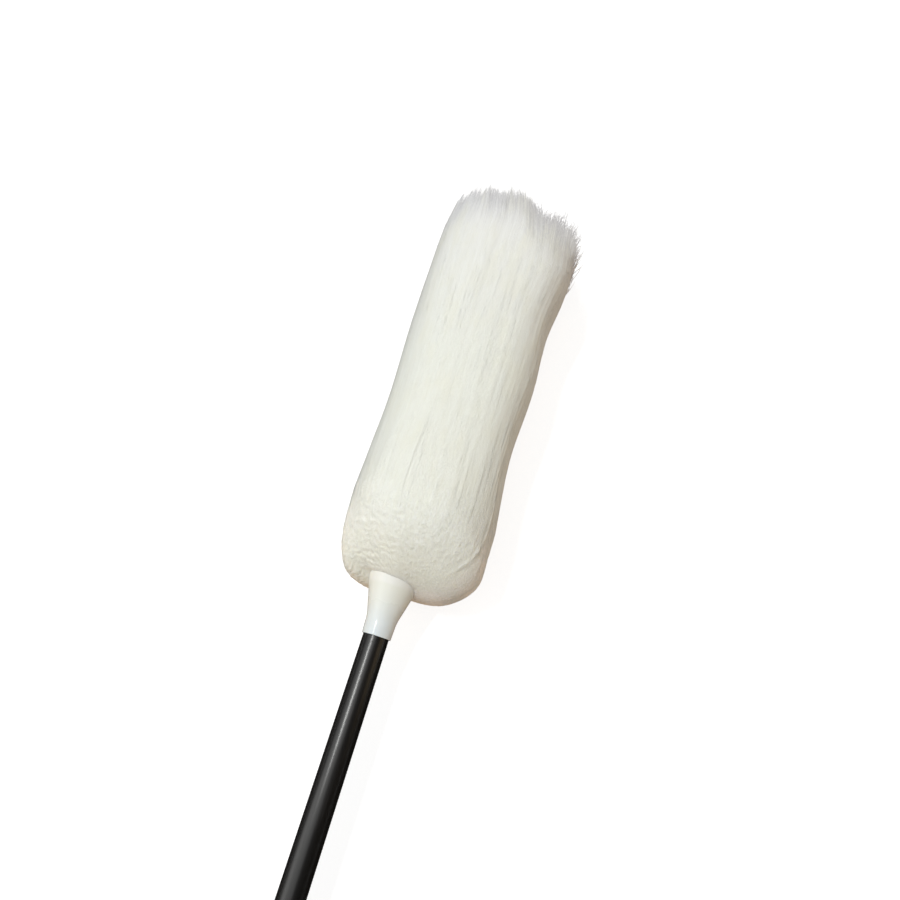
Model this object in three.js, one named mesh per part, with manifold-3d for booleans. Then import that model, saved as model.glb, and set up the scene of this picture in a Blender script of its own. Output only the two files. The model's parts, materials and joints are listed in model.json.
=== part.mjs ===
// Lambswool duster on a two-section extension pole, lying on a floor.
// Units are millimetres and +Z is up. The pole runs along +X, from the hang cap to the tip of the wool.
// Every piece is made about the pole's own axis, and one turned group lays the whole pole on the floor.
import * as THREE from 'three';
import { mergeVertices } from 'three/addons/utils/BufferGeometryUtils.js';
import Module from 'manifold-3d';

const wasm = await Module();
wasm.setup();

// Clearances
const FIT = 0.3; // round or under a piece that is pressed, screwed, glued or pinned
const RUN = 0.4; // round a piece that slides or turns
const WOOL_GAP = 0.5; // between the wool and what it lies against
const STOP = 0.5; // left at the end of the slide

// Facets round a turned piece
const SIDES = 24;
const SMALL_SIDES = 12;

// Tubes
const INNER_TUBE_D = 19;
const INNER_TUBE_WALL = 0.8;
const INNER_TUBE_LENGTH = 400;
const OUTER_TUBE_WALL = 0.8;
const OUTER_TUBE_LENGTH = 400;
const EXTENSION = 190; // bare inner tube between the lock nut and the ferrule, as it lies

// Hang cap at the butt
const TAB_LENGTH = 24;
const TAB_WIDTH = 26;
const TAB_THICKNESS = 7;
const TAB_BEVEL = 0.8;
const TAB_ROOT = 2; // how far the tab runs into the cap's flange
const HANG_HOLE_D = 10;
const CAP_FLANGE = 5;
const CAP_EDGE = 1.2;
const CAP_PLUG_LENGTH = 30;
const CAP_PLUG_WALL = 2.2;

// Grip sleeve
const GRIP_WALL = 3.2;
const GRIP_NOSE_WALL = 1.2; // at the end that faces the collar
const GRIP_LENGTH = 140;
const GRIP_WAVES = 8;
const GRIP_WAVE_DEPTH = 1.3;
const GRIP_END = 8; // plain band at each end

// Threaded collar body on the outer tube
const SKIRT_LENGTH = 30;
const SKIRT_WALL = 1.8;
const FLANGE_UP = 16; // from the skirt's lower end to the flange
const FLANGE_THICKNESS = 4;
const FLANGE_STEP = 2.5; // how far the flange stands out past the thread
const THREAD_WALL = 1.8; // between the thread and the wide end of the cone
const THREAD_LEAD = 4;
const NUT_TURN_DEG = 135;
const LAND_LENGTH = 8; // plain bore that guides the inner tube
const CONE_LENGTH = 10;
const CONE_SLOPE = 0.3; // radius gained for each unit of length
const RIVET_D = 3;
const RIVET_HEAD_D = 5.6;
const RIVET_HEAD = 0.9;
const RIVET_UP = 8; // from the skirt's lower end

// Clamp ring and lock nut
const CLAMP_NOSE_UP = 2.4; // from the start of the cone to the ring's nose
const CLAMP_HEAD = 4.4;
const CLAMP_SLIT = 1.6;
const NUT_WALL = 2.7;
const NUT_RIBS = 20;
const NUT_RIB_DEPTH = 1.1;
const NUT_ROOF = 11;
const NUT_CHAMFER = 1.2;
const NUT_SHOULDER = 6; // length of the slope at the nut's upper end
const NUT_TOP_WALL = 2.6;

// Lower end of the inner tube
const PLUG_LENGTH = 25;
const PLUG_WALL = 2.4;
const PLUG_COLLAR = 3;
const GUIDE_LENGTH = 45;
const GUIDE_WALL = 1.4;
const SNAP_RING = 1.2;
const SNAP_RING_SLIT = 4;

// Ferrule
const FERRULE_LENGTH = 46;
const FERRULE_NECK = 8;
const FERRULE_NECK_WALL = 0.9;
const FERRULE_NECK_SWELL = 0.4; // how much wider the neck is at its upper end
const FERRULE_FILLET = 8; // length of the curve between the neck and the cone
const FERRULE_RIM_D = 38.6;
const FERRULE_LIP = 4;
const FERRULE_WALL = 1.6;
const FERRULE_EDGE = 0.4;
const TUBE_IN_FERRULE = 14;

// Core rod with its bush and pin
const ROD_D = 12;
const WOOL_OVER_ROD = 36; // from the rod's end to the tip of the wool
const ROD_BELOW_MOUTH = 30;
const BUSH_LENGTH = 40;
const BUSH_FLANGE = 2;
const PIN_D = 3;
const PIN_UP = 5; // from the ferrule's mouth

// Strip of lambskin wound on the rod, its two tacks and the cap on the rod's end
const STRIP_START = 22; // from the ferrule's mouth
const STRIP_TO_CAP = 2.3; // between the strip's end and the cap
const STRIP_SEAM = 2.4; // between two turns
const STRIP_THICKNESS = 2;
const STRIP_TURNS = 9;
const STRIP_STEPS = 16; // for each turn
const TACK_D = 1.2;
const TACK_LENGTH = 6.5;
const TACK_HEAD_D = 4;
const TACK_HEAD = 0.6;
const TACK_TURN = 1 / 18; // share of a turn between the strip's end and its tack
const TIP_CAP_WALL = 2.9;
const TIP_CAP_SKIRT = 12;
const TIP_CAP_ROOF = 4;

// Wool
const WOOL_TIP = 424; // from the ferrule's mouth
const WOOL_BASE_D = 108;
const WOOL_TIP_D = 121;
const WOOL_HEIGHT = 0.9; // height above the axis against half the width
const WOOL_LEAN = 5.5; // how far the wool hangs to one side of the pole
const WOOL_BASE_ROUND = 62;
const WOOL_TIP_ROUND = 46;
const WOOL_TIP_POWER = 2.5; // over 2 makes the tip blunter than a ball
const WOOL_DROOP = 15; // how far the sides hang back past the ferrule's rim
const WOOL_DROOP_TOP = 2;
const WOOL_EDGE = 1.5;
const WOOL_IN_CUP = 16;
const WOOL_REST = 42; // height of the pole's axis above the floor at the middle of the wool
const WOOL_SIDES = 32;
const WOOL_RINGS = 20;

// Radii and places along the pole, worked out from the sizes above
const innerTube = INNER_TUBE_D / 2;
const innerBore = innerTube - INNER_TUBE_WALL;
const slideBore = innerTube + RUN;
const guideSkin = slideBore + GUIDE_WALL;
const outerBore = guideSkin + RUN;
const outerTube = outerBore + OUTER_TUBE_WALL;
const grip = outerTube + FIT + GRIP_WALL;
const rod = ROD_D / 2;
const capFace = TAB_LENGTH + CAP_FLANGE;
const outerStart = capFace + FIT;
const outerEnd = outerStart + OUTER_TUBE_LENGTH;
const skirtStart = outerEnd - SKIRT_LENGTH;
const flangeStart = skirtStart + FLANGE_UP;
const flangeEnd = flangeStart + FLANGE_THICKNESS;
const shoulder = outerEnd + FIT;
const coneStart = shoulder + LAND_LENGTH;
const coneEnd = coneStart + CONE_LENGTH;
const clampEnd = coneEnd + CLAMP_HEAD;
const nutStart = flangeEnd + STOP;
const nutRoof = clampEnd + FIT;
const nutEnd = nutRoof + NUT_ROOF;
const mouth = nutEnd + EXTENSION;
const innerEnd = mouth + TUBE_IN_FERRULE;
const innerStart = innerEnd - INNER_TUBE_LENGTH;
const guideStart = innerStart;
const guideEnd = guideStart + GUIDE_LENGTH;
const snapStart = guideEnd + FIT;
const snapEnd = snapStart + SNAP_RING;
const rim = mouth + FERRULE_LENGTH;
const woolTip = mouth + WOOL_TIP;
const rodEnd = woolTip - WOOL_OVER_ROD;
const capStart = rodEnd + FIT - TIP_CAP_SKIRT;
const capEnd = rodEnd + FIT + TIP_CAP_ROOF;
const stripIn = rod + FIT;
const stripOut = stripIn + STRIP_THICKNESS;
const stripStart = mouth + STRIP_START;
const stripLength = capStart - STRIP_TO_CAP - stripStart;
const stripPitch = (stripLength + STRIP_SEAM) / (STRIP_TURNS + 1);
const stripWidth = stripPitch - STRIP_SEAM;
const tackHeadIn = stripOut + FIT;
const tipCap = rod + FIT + TIP_CAP_WALL;
const woolBore = Math.max(tackHeadIn + TACK_HEAD, tipCap) + WOOL_GAP;

// A solid for joining and cutting
function solidOf(geometry) {
  const bare = geometry.clone();
  bare.deleteAttribute('normal');
  bare.deleteAttribute('uv');
  const merged = mergeVertices(bare, 1e-4);
  const index = merged.index.array;
  const faces = [];
  for (let i = 0; i < index.length; i += 3) {
    const [a, b, c] = [index[i], index[i + 1], index[i + 2]];
    if (a !== b && b !== c && c !== a) faces.push(a, b, c);
  }
  return new wasm.Manifold(new wasm.Mesh({
    numProp: 3,
    vertProperties: new Float32Array(merged.attributes.position.array),
    triVerts: new Uint32Array(faces),
  }));
}

function geometryOf(solid) {
  const mesh = solid.getMesh();
  const geometry = new THREE.BufferGeometry();
  geometry.setAttribute('position', new THREE.BufferAttribute(mesh.vertProperties, 3));
  geometry.setIndex(new THREE.BufferAttribute(mesh.triVerts, 1));
  geometry.computeVertexNormals();
  return geometry;
}

function cut(geometry, ...tools) {
  return geometryOf(tools.reduce((solid, tool) => solid.subtract(solidOf(tool)), solidOf(geometry)));
}

function join(geometry, ...others) {
  return geometryOf(others.reduce((solid, other) => solid.add(solidOf(other)), solidOf(geometry)));
}

function common(geometry, other) {
  return geometryOf(solidOf(geometry).intersect(solidOf(other)));
}

// A profile of [along, radius] points, closed along the axis or on itself, turned about the pole's axis
function turned(profile, sides = SIDES) {
  let area = 0;
  profile.forEach(([along, radius], i) => {
    const [nextAlong, nextRadius] = profile[(i + 1) % profile.length];
    area += along * nextRadius - nextAlong * radius;
  });
  const ordered = area > 0 ? [...profile].reverse() : [...profile];
  const onAxis = ordered.some(([, radius]) => radius === 0);
  while (onAxis && !(ordered[0][1] === 0 && ordered.at(-1)[1] === 0)) ordered.push(ordered.shift());
  if (!onAxis) ordered.push(ordered[0]);
  const points = ordered.map(([along, radius]) => new THREE.Vector2(radius, along));
  return new THREE.LatheGeometry(points, sides).rotateZ(-Math.PI / 2);
}

// Points of a round edge in a profile
function arc(along, radius, size, fromDeg, toDeg, steps = 3) {
  return Array.from({ length: steps + 1 }, (_, i) => {
    const angle = THREE.MathUtils.degToRad(fromDeg + ((toDeg - fromDeg) * i) / steps);
    return [along + size * Math.cos(angle), radius + size * Math.sin(angle)];
  });
}

function ring(from, to, inner, outer, sides = SIDES) {
  return turned([[from, inner], [to, inner], [to, outer], [from, outer]], sides);
}

function bar(from, to, radius, sides = SMALL_SIDES) {
  return turned([[from, 0], [from, radius], [to, radius], [to, 0]], sides);
}

// A bar across the pole, along Y
function crossBar(along, from, to, radius) {
  return bar(from, to, radius).rotateZ(Math.PI / 2).translate(along, 0, 0);
}

// A slit through the wall on the upper side of a ring
function slit(from, to, width, reach) {
  return new THREE.BoxGeometry(to - from + 2, width, reach).translate((from + to) / 2, 0, reach / 2);
}

const finish = {
  coated: { color: 0x2b2a2a, roughness: 0.38, metalness: 0.3 },
  black: { color: 0x232323, roughness: 0.5, metalness: 0 },
  grip: { color: 0x2a2a2b, roughness: 0.85, metalness: 0 },
  white: { color: 0xeceee8, roughness: 0.35, metalness: 0 },
  acetal: { color: 0xd8d6cc, roughness: 0.5, metalness: 0 },
  steel: { color: 0xb4b6b8, roughness: 0.35, metalness: 1 },
  timber: { color: 0xc9a878, roughness: 0.7, metalness: 0 },
  hide: { color: 0xd9c7a6, roughness: 0.9, metalness: 0 },
  wool: { color: 0xeeece0, roughness: 1, metalness: 0 },
};

const pole = new THREE.Group();

function add(name, geometry, look) {
  const mesh = new THREE.Mesh(geometry, new THREE.MeshStandardMaterial(finish[look]));
  mesh.name = name;
  pole.add(mesh);
}

// Hang cap: a plug in the outer tube, a flange that closes the grip, and a flat tab with a hole to hang it by
function hangCap() {
  const plug = outerBore - FIT;
  const plugEnd = capFace + CAP_PLUG_LENGTH;
  const body = turned([
    [TAB_LENGTH, 0],
    ...arc(TAB_LENGTH + CAP_EDGE, grip - CAP_EDGE, CAP_EDGE, 180, 90),
    [capFace, grip],
    [capFace, plug],
    [plugEnd - CAP_EDGE, plug],
    [plugEnd, plug - CAP_EDGE],
    [plugEnd, plug - CAP_PLUG_WALL],
    [capFace, plug - CAP_PLUG_WALL],
    [capFace, 0],
  ]);
  const half = TAB_WIDTH / 2;
  const outline = new THREE.Shape();
  outline.moveTo(TAB_LENGTH + TAB_ROOT, -half);
  outline.lineTo(TAB_LENGTH + TAB_ROOT, half);
  outline.lineTo(half, half);
  outline.absarc(half, 0, half, Math.PI / 2, (3 * Math.PI) / 2, false);
  const hole = new THREE.Path();
  hole.absarc(half, 0, HANG_HOLE_D / 2, 0, 2 * Math.PI, true);
  outline.holes.push(hole);
  const tab = new THREE.ExtrudeGeometry(outline, {
    depth: TAB_THICKNESS - 2 * TAB_BEVEL,
    bevelThickness: TAB_BEVEL,
    bevelSize: TAB_BEVEL,
    bevelOffset: -TAB_BEVEL,
    bevelSegments: 1,
    curveSegments: 10,
  });
  tab.translate(0, 0, TAB_BEVEL - TAB_THICKNESS / 2);
  return join(body, tab);
}

// Grip: a soft sleeve with shallow waves for the fingers, drawn in towards the collar
function gripSleeve() {
  const start = outerStart;
  const end = start + GRIP_LENGTH;
  const bore = outerTube + FIT;
  const waveStart = start + GRIP_END;
  const waveLength = (GRIP_LENGTH - 2 * GRIP_END) / GRIP_WAVES;
  const taper = (GRIP_WALL - GRIP_NOSE_WALL) / GRIP_LENGTH;
  const skin = (along) => grip - taper * (along - start);
  const profile = [[start, bore], [start, skin(start)], [waveStart, skin(waveStart)]];
  for (let wave = 0; wave < GRIP_WAVES; wave += 1) {
    for (const share of [0.3, 0.5, 0.7, 1]) {
      const along = waveStart + (wave + share) * waveLength;
      const dip = share === 1 ? 0 : GRIP_WAVE_DEPTH * Math.sin(Math.PI * share) ** 2;
      profile.push([along, skin(along) - dip]);
    }
  }
  profile.push(...arc(end - CAP_EDGE, skin(end) - CAP_EDGE, CAP_EDGE, 90, 0, 2), [end, bore]);
  return turned(profile);
}

// Rivets through the collar's skirt and the outer tube, one on each side
const rivetAlong = skirtStart + RIVET_UP;
const skirtOut = outerTube + FIT + SKIRT_WALL;
const rivetHole = crossBar(rivetAlong, -2 * outerTube, 2 * outerTube, RIVET_D / 2 + FIT);

function rivet(side) {
  const head = skirtOut + FIT;
  const shape = turned([
    [outerBore, 0],
    [outerBore, RIVET_D / 2],
    [head, RIVET_D / 2],
    [head, RIVET_HEAD_D / 2],
    [head + RIVET_HEAD / 2, RIVET_HEAD_D / 2],
    [head + RIVET_HEAD, RIVET_HEAD_D / 4],
    [head + RIVET_HEAD, 0],
  ], SMALL_SIDES);
  return shape.rotateZ((side * Math.PI) / 2).translate(rivetAlong, 0, 0);
}

// Collar body: a skirt over the tube's end, a flange, the thread and a cone that closes the clamp ring
const coneSmall = slideBore + FIT;
const coneRadius = (along) => coneSmall + CONE_SLOPE * (along - coneStart);
const thread = coneRadius(coneEnd) + THREAD_WALL;
const flange = thread + FLANGE_STEP;

function threadBody() {
  const bore = outerTube + FIT;
  const shape = turned([
    [skirtStart, bore],
    [skirtStart, skirtOut],
    [flangeStart, skirtOut],
    [flangeStart, flange],
    [flangeEnd, flange],
    [flangeEnd, thread],
    [coneEnd, thread],
    [coneEnd, coneRadius(coneEnd)],
    [coneStart, coneSmall],
    [coneStart, slideBore],
    [shoulder, slideBore],
    [shoulder, bore],
  ]);
  return cut(shape, rivetHole);
}

function clampRing() {
  const nose = coneStart + CLAMP_NOSE_UP;
  const skin = (along) => coneRadius(along) - FIT;
  const shape = turned([
    [nose, slideBore],
    [nose, skin(nose)],
    [coneEnd, skin(coneEnd)],
    [clampEnd, skin(coneEnd)],
    [clampEnd, slideBore],
  ]);
  return cut(shape, slit(nose, clampEnd, CLAMP_SLIT, 2 * thread));
}

// Lock nut: ribbed outside, with a roof that pushes the clamp ring down as it is tightened
function lockNut() {
  const outline = new THREE.Shape();
  const threadBore = thread + FIT;
  const full = threadBore + NUT_WALL;
  const points = NUT_RIBS * 4;
  for (let i = 0; i < points; i += 1) {
    const radius = full - (i % 4 < 2 ? 0 : NUT_RIB_DEPTH);
    const angle = ((i + 0.5) / points) * 2 * Math.PI;
    const place = [radius * Math.cos(angle), radius * Math.sin(angle)];
    if (i === 0) outline.moveTo(...place);
    else outline.lineTo(...place);
  }
  const length = nutEnd - nutStart;
  const ribbed = new THREE.ExtrudeGeometry(outline, { depth: length, bevelEnabled: false });
  ribbed.rotateY(Math.PI / 2).translate(nutStart, 0, 0);
  const envelope = turned([
    [nutStart, 0],
    [nutStart, full - NUT_CHAMFER],
    [nutStart + NUT_CHAMFER, full],
    [nutEnd - NUT_SHOULDER, full],
    [nutEnd, slideBore + NUT_TOP_WALL],
    [nutEnd, 0],
  ], points);
  const lower = bar(nutStart - STOP, coneEnd + STOP, threadBore, SIDES);
  const roof = bar(coneEnd, nutRoof, coneRadius(coneEnd) + FIT, SIDES);
  const upper = bar(nutRoof - STOP, nutEnd + STOP, slideBore, SIDES);
  return cut(common(ribbed, envelope), lower, roof, upper);
}

// Lower end of the inner tube: a plug with a collar, and the snap ring that keeps the guide sleeve above it
function tubePlug() {
  const top = innerStart - FIT;
  const outer = innerBore - FIT;
  const collar = guideSkin - FIT;
  const bore = outer - PLUG_WALL;
  return turned([
    [top - PLUG_COLLAR, bore],
    [top - PLUG_COLLAR, collar],
    [top, collar],
    [top, outer],
    [top + PLUG_LENGTH, outer],
    [top + PLUG_LENGTH, bore],
  ]);
}

function snapRing() {
  const shape = ring(snapStart, snapEnd, innerTube + FIT, guideSkin - FIT);
  return cut(shape, slit(snapStart, snapEnd, SNAP_RING_SLIT, 2 * outerTube));
}

// Ferrule: a straight neck on the tube that curves into a cone, with a rolled lip round the cup
const neckBore = innerTube + FIT;
const neckStart = neckBore + FERRULE_NECK_WALL;
const neckEnd = neckStart + FERRULE_NECK_SWELL;
const filletStart = mouth + FERRULE_NECK;
const filletEnd = filletStart + FERRULE_FILLET;
const coneTop = rim - FERRULE_LIP;
const cupFloor = innerEnd + FIT + BUSH_FLANGE + FIT;

function ferruleSkin(along) {
  if (along <= filletStart) {
    return THREE.MathUtils.mapLinear(along, mouth, filletStart, neckStart, neckEnd);
  }
  const flare = (FERRULE_RIM_D / 2 - neckEnd) / (coneTop - filletStart - FERRULE_FILLET / 2);
  const up = Math.min(along, coneTop) - filletStart;
  const rise = along < filletEnd ? up ** 2 / (2 * FERRULE_FILLET) : up - FERRULE_FILLET / 2;
  return neckEnd + flare * rise;
}

const cupSkin = (along) => ferruleSkin(along) - FERRULE_WALL;

function ferrule() {
  const lip = FERRULE_WALL / 2;
  const places = [FERRULE_EDGE, FERRULE_NECK].map((up) => mouth + up);
  for (const share of [0.33, 0.67, 1]) places.push(filletStart + share * FERRULE_FILLET);
  return turned([
    [mouth, neckBore],
    [mouth, neckStart - FERRULE_EDGE],
    ...places.map((along) => [along, ferruleSkin(along)]),
    [coneTop, FERRULE_RIM_D / 2],
    ...arc(rim - lip, FERRULE_RIM_D / 2 - lip, lip, 90, -90, 4),
    [coneTop, cupSkin(coneTop)],
    [cupFloor, cupSkin(cupFloor)],
    [cupFloor, neckBore],
  ]);
}

// Core rod, the bush that centres it in the tube, and the pin through all three
const pinAlong = mouth + PIN_UP;
const pinHalf = innerTube - FIT / 2;
const pinHole = crossBar(pinAlong, -INNER_TUBE_D, INNER_TUBE_D, PIN_D / 2 + FIT);

function rodBush() {
  const top = innerEnd + FIT;
  const outer = innerBore - FIT;
  const shape = turned([
    [innerEnd - BUSH_LENGTH, rod + FIT],
    [innerEnd - BUSH_LENGTH, outer],
    [top, outer],
    [top, innerTube - FIT],
    [top + BUSH_FLANGE, innerTube - FIT],
    [top + BUSH_FLANGE, rod + FIT],
  ]);
  return cut(shape, pinHole);
}

// Strip of lambskin: a flat band wound round the rod as one helix
function skinStrip() {
  const steps = STRIP_TURNS * STRIP_STEPS;
  const positions = [];
  for (let i = 0; i <= steps; i += 1) {
    const turn = i / STRIP_STEPS;
    const angle = turn * 2 * Math.PI;
    const start = stripStart + turn * stripPitch;
    const corners = [[0, stripIn], [stripWidth, stripIn], [stripWidth, stripOut], [0, stripOut]];
    for (const [across, radius] of corners) {
      positions.push(start + across, radius * Math.cos(angle), radius * Math.sin(angle));
    }
  }
  const faces = [0, 2, 1, 0, 3, 2];
  for (let i = 0; i < steps; i += 1) {
    for (let side = 0; side < 4; side += 1) {
      const here = i * 4 + side;
      const beside = i * 4 + ((side + 1) % 4);
      faces.push(here, beside, beside + 4, here, beside + 4, here + 4);
    }
  }
  const last = steps * 4;
  faces.push(last, last + 1, last + 2, last, last + 2, last + 3);
  const geometry = new THREE.BufferGeometry();
  geometry.setAttribute('position', new THREE.Float32BufferAttribute(positions, 3));
  geometry.setIndex(faces);
  geometry.computeVertexNormals();
  return geometry;
}

// A piece made along +X is stood out from the rod, where the strip passes that many turns from its start
function onStrip(geometry, turn) {
  const along = stripStart + turn * stripPitch + stripWidth / 2;
  geometry.rotateZ(Math.PI / 2).rotateX(turn * 2 * Math.PI);
  return geometry.translate(along, 0, 0);
}

const tackTurns = { lower: TACK_TURN, upper: STRIP_TURNS - TACK_TURN };
const tackFoot = tackHeadIn - TACK_LENGTH;
const tackHoles = () => Object.values(tackTurns).map((turn) => (
  onStrip(bar(tackFoot - FIT, tackHeadIn, TACK_D / 2 + FIT), turn)));

function tack(turn) {
  const shape = turned([
    [tackFoot, 0],
    [tackFoot + TACK_D, TACK_D / 2],
    [tackHeadIn, TACK_D / 2],
    [tackHeadIn, TACK_HEAD_D / 2],
    [tackHeadIn + TACK_HEAD, TACK_HEAD_D / 2],
    [tackHeadIn + TACK_HEAD, 0],
  ], SMALL_SIDES);
  return onStrip(shape, turn);
}

// Cap on the rod's end, rounded so that the rod can't poke through the wool
function roundedCap() {
  const bore = rod + FIT;
  return turned([
    [rodEnd + FIT, 0],
    [rodEnd + FIT, bore],
    [capStart, bore],
    [capStart, tipCap],
    ...arc(capEnd - TIP_CAP_ROOF, tipCap - TIP_CAP_ROOF, TIP_CAP_ROOF, 90, 0),
    [capEnd, 0],
  ]);
}

// Floor under the pole: it touches the cap's flange and, WOOL_REST below the axis, the middle of the wool
const flangeTouch = TAB_LENGTH + CAP_EDGE;
const woolMiddle = (rim + woolTip) / 2;
const slope = Math.atan((WOOL_REST - grip) / (woolMiddle - flangeTouch));
const floorUnder = (along) => -grip - (along - flangeTouch) * Math.tan(slope);

// Wool: one closed form that starts in the ferrule's cup, hangs over its rim and lies flat on the floor
function wool() {
  const { smoothstep, lerp } = THREE.MathUtils;
  const top = rim + WOOL_GAP;
  const blunt = (share, power) => (1 - (1 - Math.min(1, share)) ** power) ** (1 / power);
  const hangsBack = (angle) => (
    lerp(WOOL_DROOP_TOP, WOOL_DROOP, smoothstep(1 - Math.sin(angle), 0.15, 0.8)));
  const outside = (share, angle) => {
    const start = top - hangsBack(angle);
    const along = lerp(woolTip, start, (1 - Math.cos(Math.PI * share)) / 2);
    const edge = ferruleSkin(start) + WOOL_GAP + WOOL_EDGE;
    const full = lerp(WOOL_TIP_D, WOOL_BASE_D, (woolTip - along) / (woolTip - start)) / 2;
    const swell = lerp(edge, full, blunt((along - start) / WOOL_BASE_ROUND, 2));
    const radius = swell * blunt((woolTip - along) / WOOL_TIP_ROUND, WOOL_TIP_POWER);
    const lean = WOOL_LEAN * smoothstep(along - start, 0, WOOL_BASE_ROUND);
    const height = lerp(1, WOOL_HEIGHT, smoothstep(along - start, 0, WOOL_BASE_ROUND));
    const z = radius * height * Math.sin(angle);
    return [along, radius * Math.cos(angle) - lean, Math.max(z, floorUnder(along))];
  };
  const round = (along, radius, angle) => [along, radius * Math.cos(angle), radius * Math.sin(angle)];
  const underRim = (share, angle) => {
    const along = lerp(top - hangsBack(angle), top, share);
    return round(along, ferruleSkin(along) + WOOL_GAP, angle);
  };
  const inCup = (share, angle) => {
    const along = top - share * WOOL_IN_CUP;
    return round(along, cupSkin(along) - WOOL_GAP, angle);
  };
  const rings = [];
  for (let i = 1; i <= WOOL_RINGS; i += 1) rings.push((angle) => outside(i / WOOL_RINGS, angle));
  for (const share of [0, 0.25, 0.5, 0.75, 1]) rings.push((angle) => underRim(share, angle));
  for (const share of [0, 0.3, 0.65, 1]) rings.push((angle) => inCup(share, angle));
  rings.push((angle) => round(top - WOOL_IN_CUP, woolBore, angle));
  rings.push((angle) => round(capEnd + WOOL_GAP, woolBore, angle));

  const positions = [woolTip, -WOOL_LEAN, 0];
  for (const ringAt of rings) {
    for (let side = 0; side < WOOL_SIDES; side += 1) {
      positions.push(...ringAt((side / WOOL_SIDES) * 2 * Math.PI));
    }
  }
  positions.push(capEnd + WOOL_GAP, 0, 0);
  const last = positions.length / 3 - 1;
  const faces = [];
  for (let side = 0; side < WOOL_SIDES; side += 1) {
    const next = (side + 1) % WOOL_SIDES;
    faces.push(0, 1 + side, 1 + next);
    for (let i = 0; i < rings.length - 1; i += 1) {
      const here = 1 + i * WOOL_SIDES;
      const [a, b, c, d] = [here + side, here + next, here + WOOL_SIDES + next, here + WOOL_SIDES + side];
      faces.push(a, d, c, a, c, b);
    }
    const inner = 1 + (rings.length - 1) * WOOL_SIDES;
    faces.push(inner + side, last, inner + next);
  }
  const geometry = new THREE.BufferGeometry();
  geometry.setAttribute('position', new THREE.Float32BufferAttribute(positions, 3));
  geometry.setIndex(faces);
  geometry.computeVertexNormals();
  return geometry;
}

// Handle section
add('hang_cap', hangCap(), 'black');
add('grip_sleeve', gripSleeve(), 'grip');
add('outer_tube', cut(ring(outerStart, outerEnd, outerBore, outerTube), rivetHole), 'coated');
add('thread_body', threadBody(), 'black');
add('body_rivet_left', rivet(1), 'steel');
add('body_rivet_right', rivet(-1), 'steel');

// Lock
add('clamp_ring', clampRing(), 'acetal');
add('lock_nut', lockNut(), 'black');

// Sliding section
add('tube_plug', tubePlug(), 'black');
add('guide_sleeve', ring(guideStart, guideEnd, slideBore, guideSkin), 'acetal');
add('snap_ring', snapRing(), 'steel');
add('inner_tube', cut(ring(innerStart, innerEnd, innerBore, innerTube), pinHole), 'coated');

// Duster head
add('ferrule', ferrule(), 'white');
add('rod_bush', rodBush(), 'acetal');
add('rod_pin', crossBar(pinAlong, -pinHalf, pinHalf, PIN_D / 2), 'steel');
const rodBar = bar(mouth - ROD_BELOW_MOUTH, rodEnd, rod, SIDES);
add('core_rod', cut(rodBar, pinHole, ...tackHoles()), 'timber');
add('skin_strip', cut(skinStrip(), ...tackHoles()), 'hide');
add('skin_tack_lower', tack(tackTurns.lower), 'steel');
add('skin_tack_upper', tack(tackTurns.upper), 'steel');
add('tip_cap', roundedCap(), 'acetal');
add('wool_fleece', wool(), 'wool');

// Lay the pole on the floor, with the origin under the middle of its box
pole.rotation.y = -slope;
const duster = new THREE.Group();
duster.add(pole);
const box = new THREE.Box3().setFromObject(duster, true);
const middle = box.getCenter(new THREE.Vector3());
pole.position.set(-middle.x, -middle.y, -box.min.z);

// What the joints need, in millimetres: a point on the axis, the slide's two ends and the nut's travel
const nutTravel = (THREAD_LEAD * NUT_TURN_DEG) / 360;
duster.updateMatrixWorld(true);
console.log('slope in degrees', THREE.MathUtils.radToDeg(slope));
console.log('axis point', pole.localToWorld(new THREE.Vector3(nutEnd, 0, 0)).toArray());
console.log('slide range', [nutTravel + STOP - EXTENSION, shoulder - snapEnd - STOP]);
console.log('nut travel', nutTravel);

export default duster;
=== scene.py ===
# %% [markdown]
# # A lambswool duster on an extension pole
# The duster lies on a floor: a head of long combed wool, a white flared ferrule, and a black pole in two
# sections with a twist lock, a grip and a hang cap. The CAD model has already settled every size and every
# joint, so this lesson loads it as a frame and draws each piece finer, in the same place.

# %% Load the frame and keep its box
import json
import math

import bmesh
import bpy
import numpy as np
from mathutils import Matrix, Vector, noise


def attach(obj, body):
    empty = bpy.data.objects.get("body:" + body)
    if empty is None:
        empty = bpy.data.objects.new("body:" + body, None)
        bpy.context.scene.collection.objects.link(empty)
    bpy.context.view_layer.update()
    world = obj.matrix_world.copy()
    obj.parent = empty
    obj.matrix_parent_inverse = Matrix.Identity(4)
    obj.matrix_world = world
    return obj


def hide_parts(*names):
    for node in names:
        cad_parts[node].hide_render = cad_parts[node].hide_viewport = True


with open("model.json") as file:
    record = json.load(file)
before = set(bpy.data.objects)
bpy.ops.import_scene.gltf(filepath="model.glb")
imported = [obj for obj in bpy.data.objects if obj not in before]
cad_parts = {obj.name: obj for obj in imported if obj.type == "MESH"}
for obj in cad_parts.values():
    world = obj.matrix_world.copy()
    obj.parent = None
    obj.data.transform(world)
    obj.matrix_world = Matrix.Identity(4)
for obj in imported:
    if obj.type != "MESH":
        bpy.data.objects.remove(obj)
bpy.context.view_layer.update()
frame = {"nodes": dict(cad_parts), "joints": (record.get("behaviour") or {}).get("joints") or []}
scene = bpy.context.scene
scene.view_settings.view_transform = "Standard"

# %% [markdown]
# ## The pole's own axes
# Every piece of the duster is turned about the pole or wound round it, so places are easiest to write along
# the pole: millimetres from the ferrule's mouth, sideways, and up. The axis comes from the joint that the
# inner tube turns on, and the zero point from the lowest vertex of the ferrule, so nothing is fitted by eye.

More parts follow.
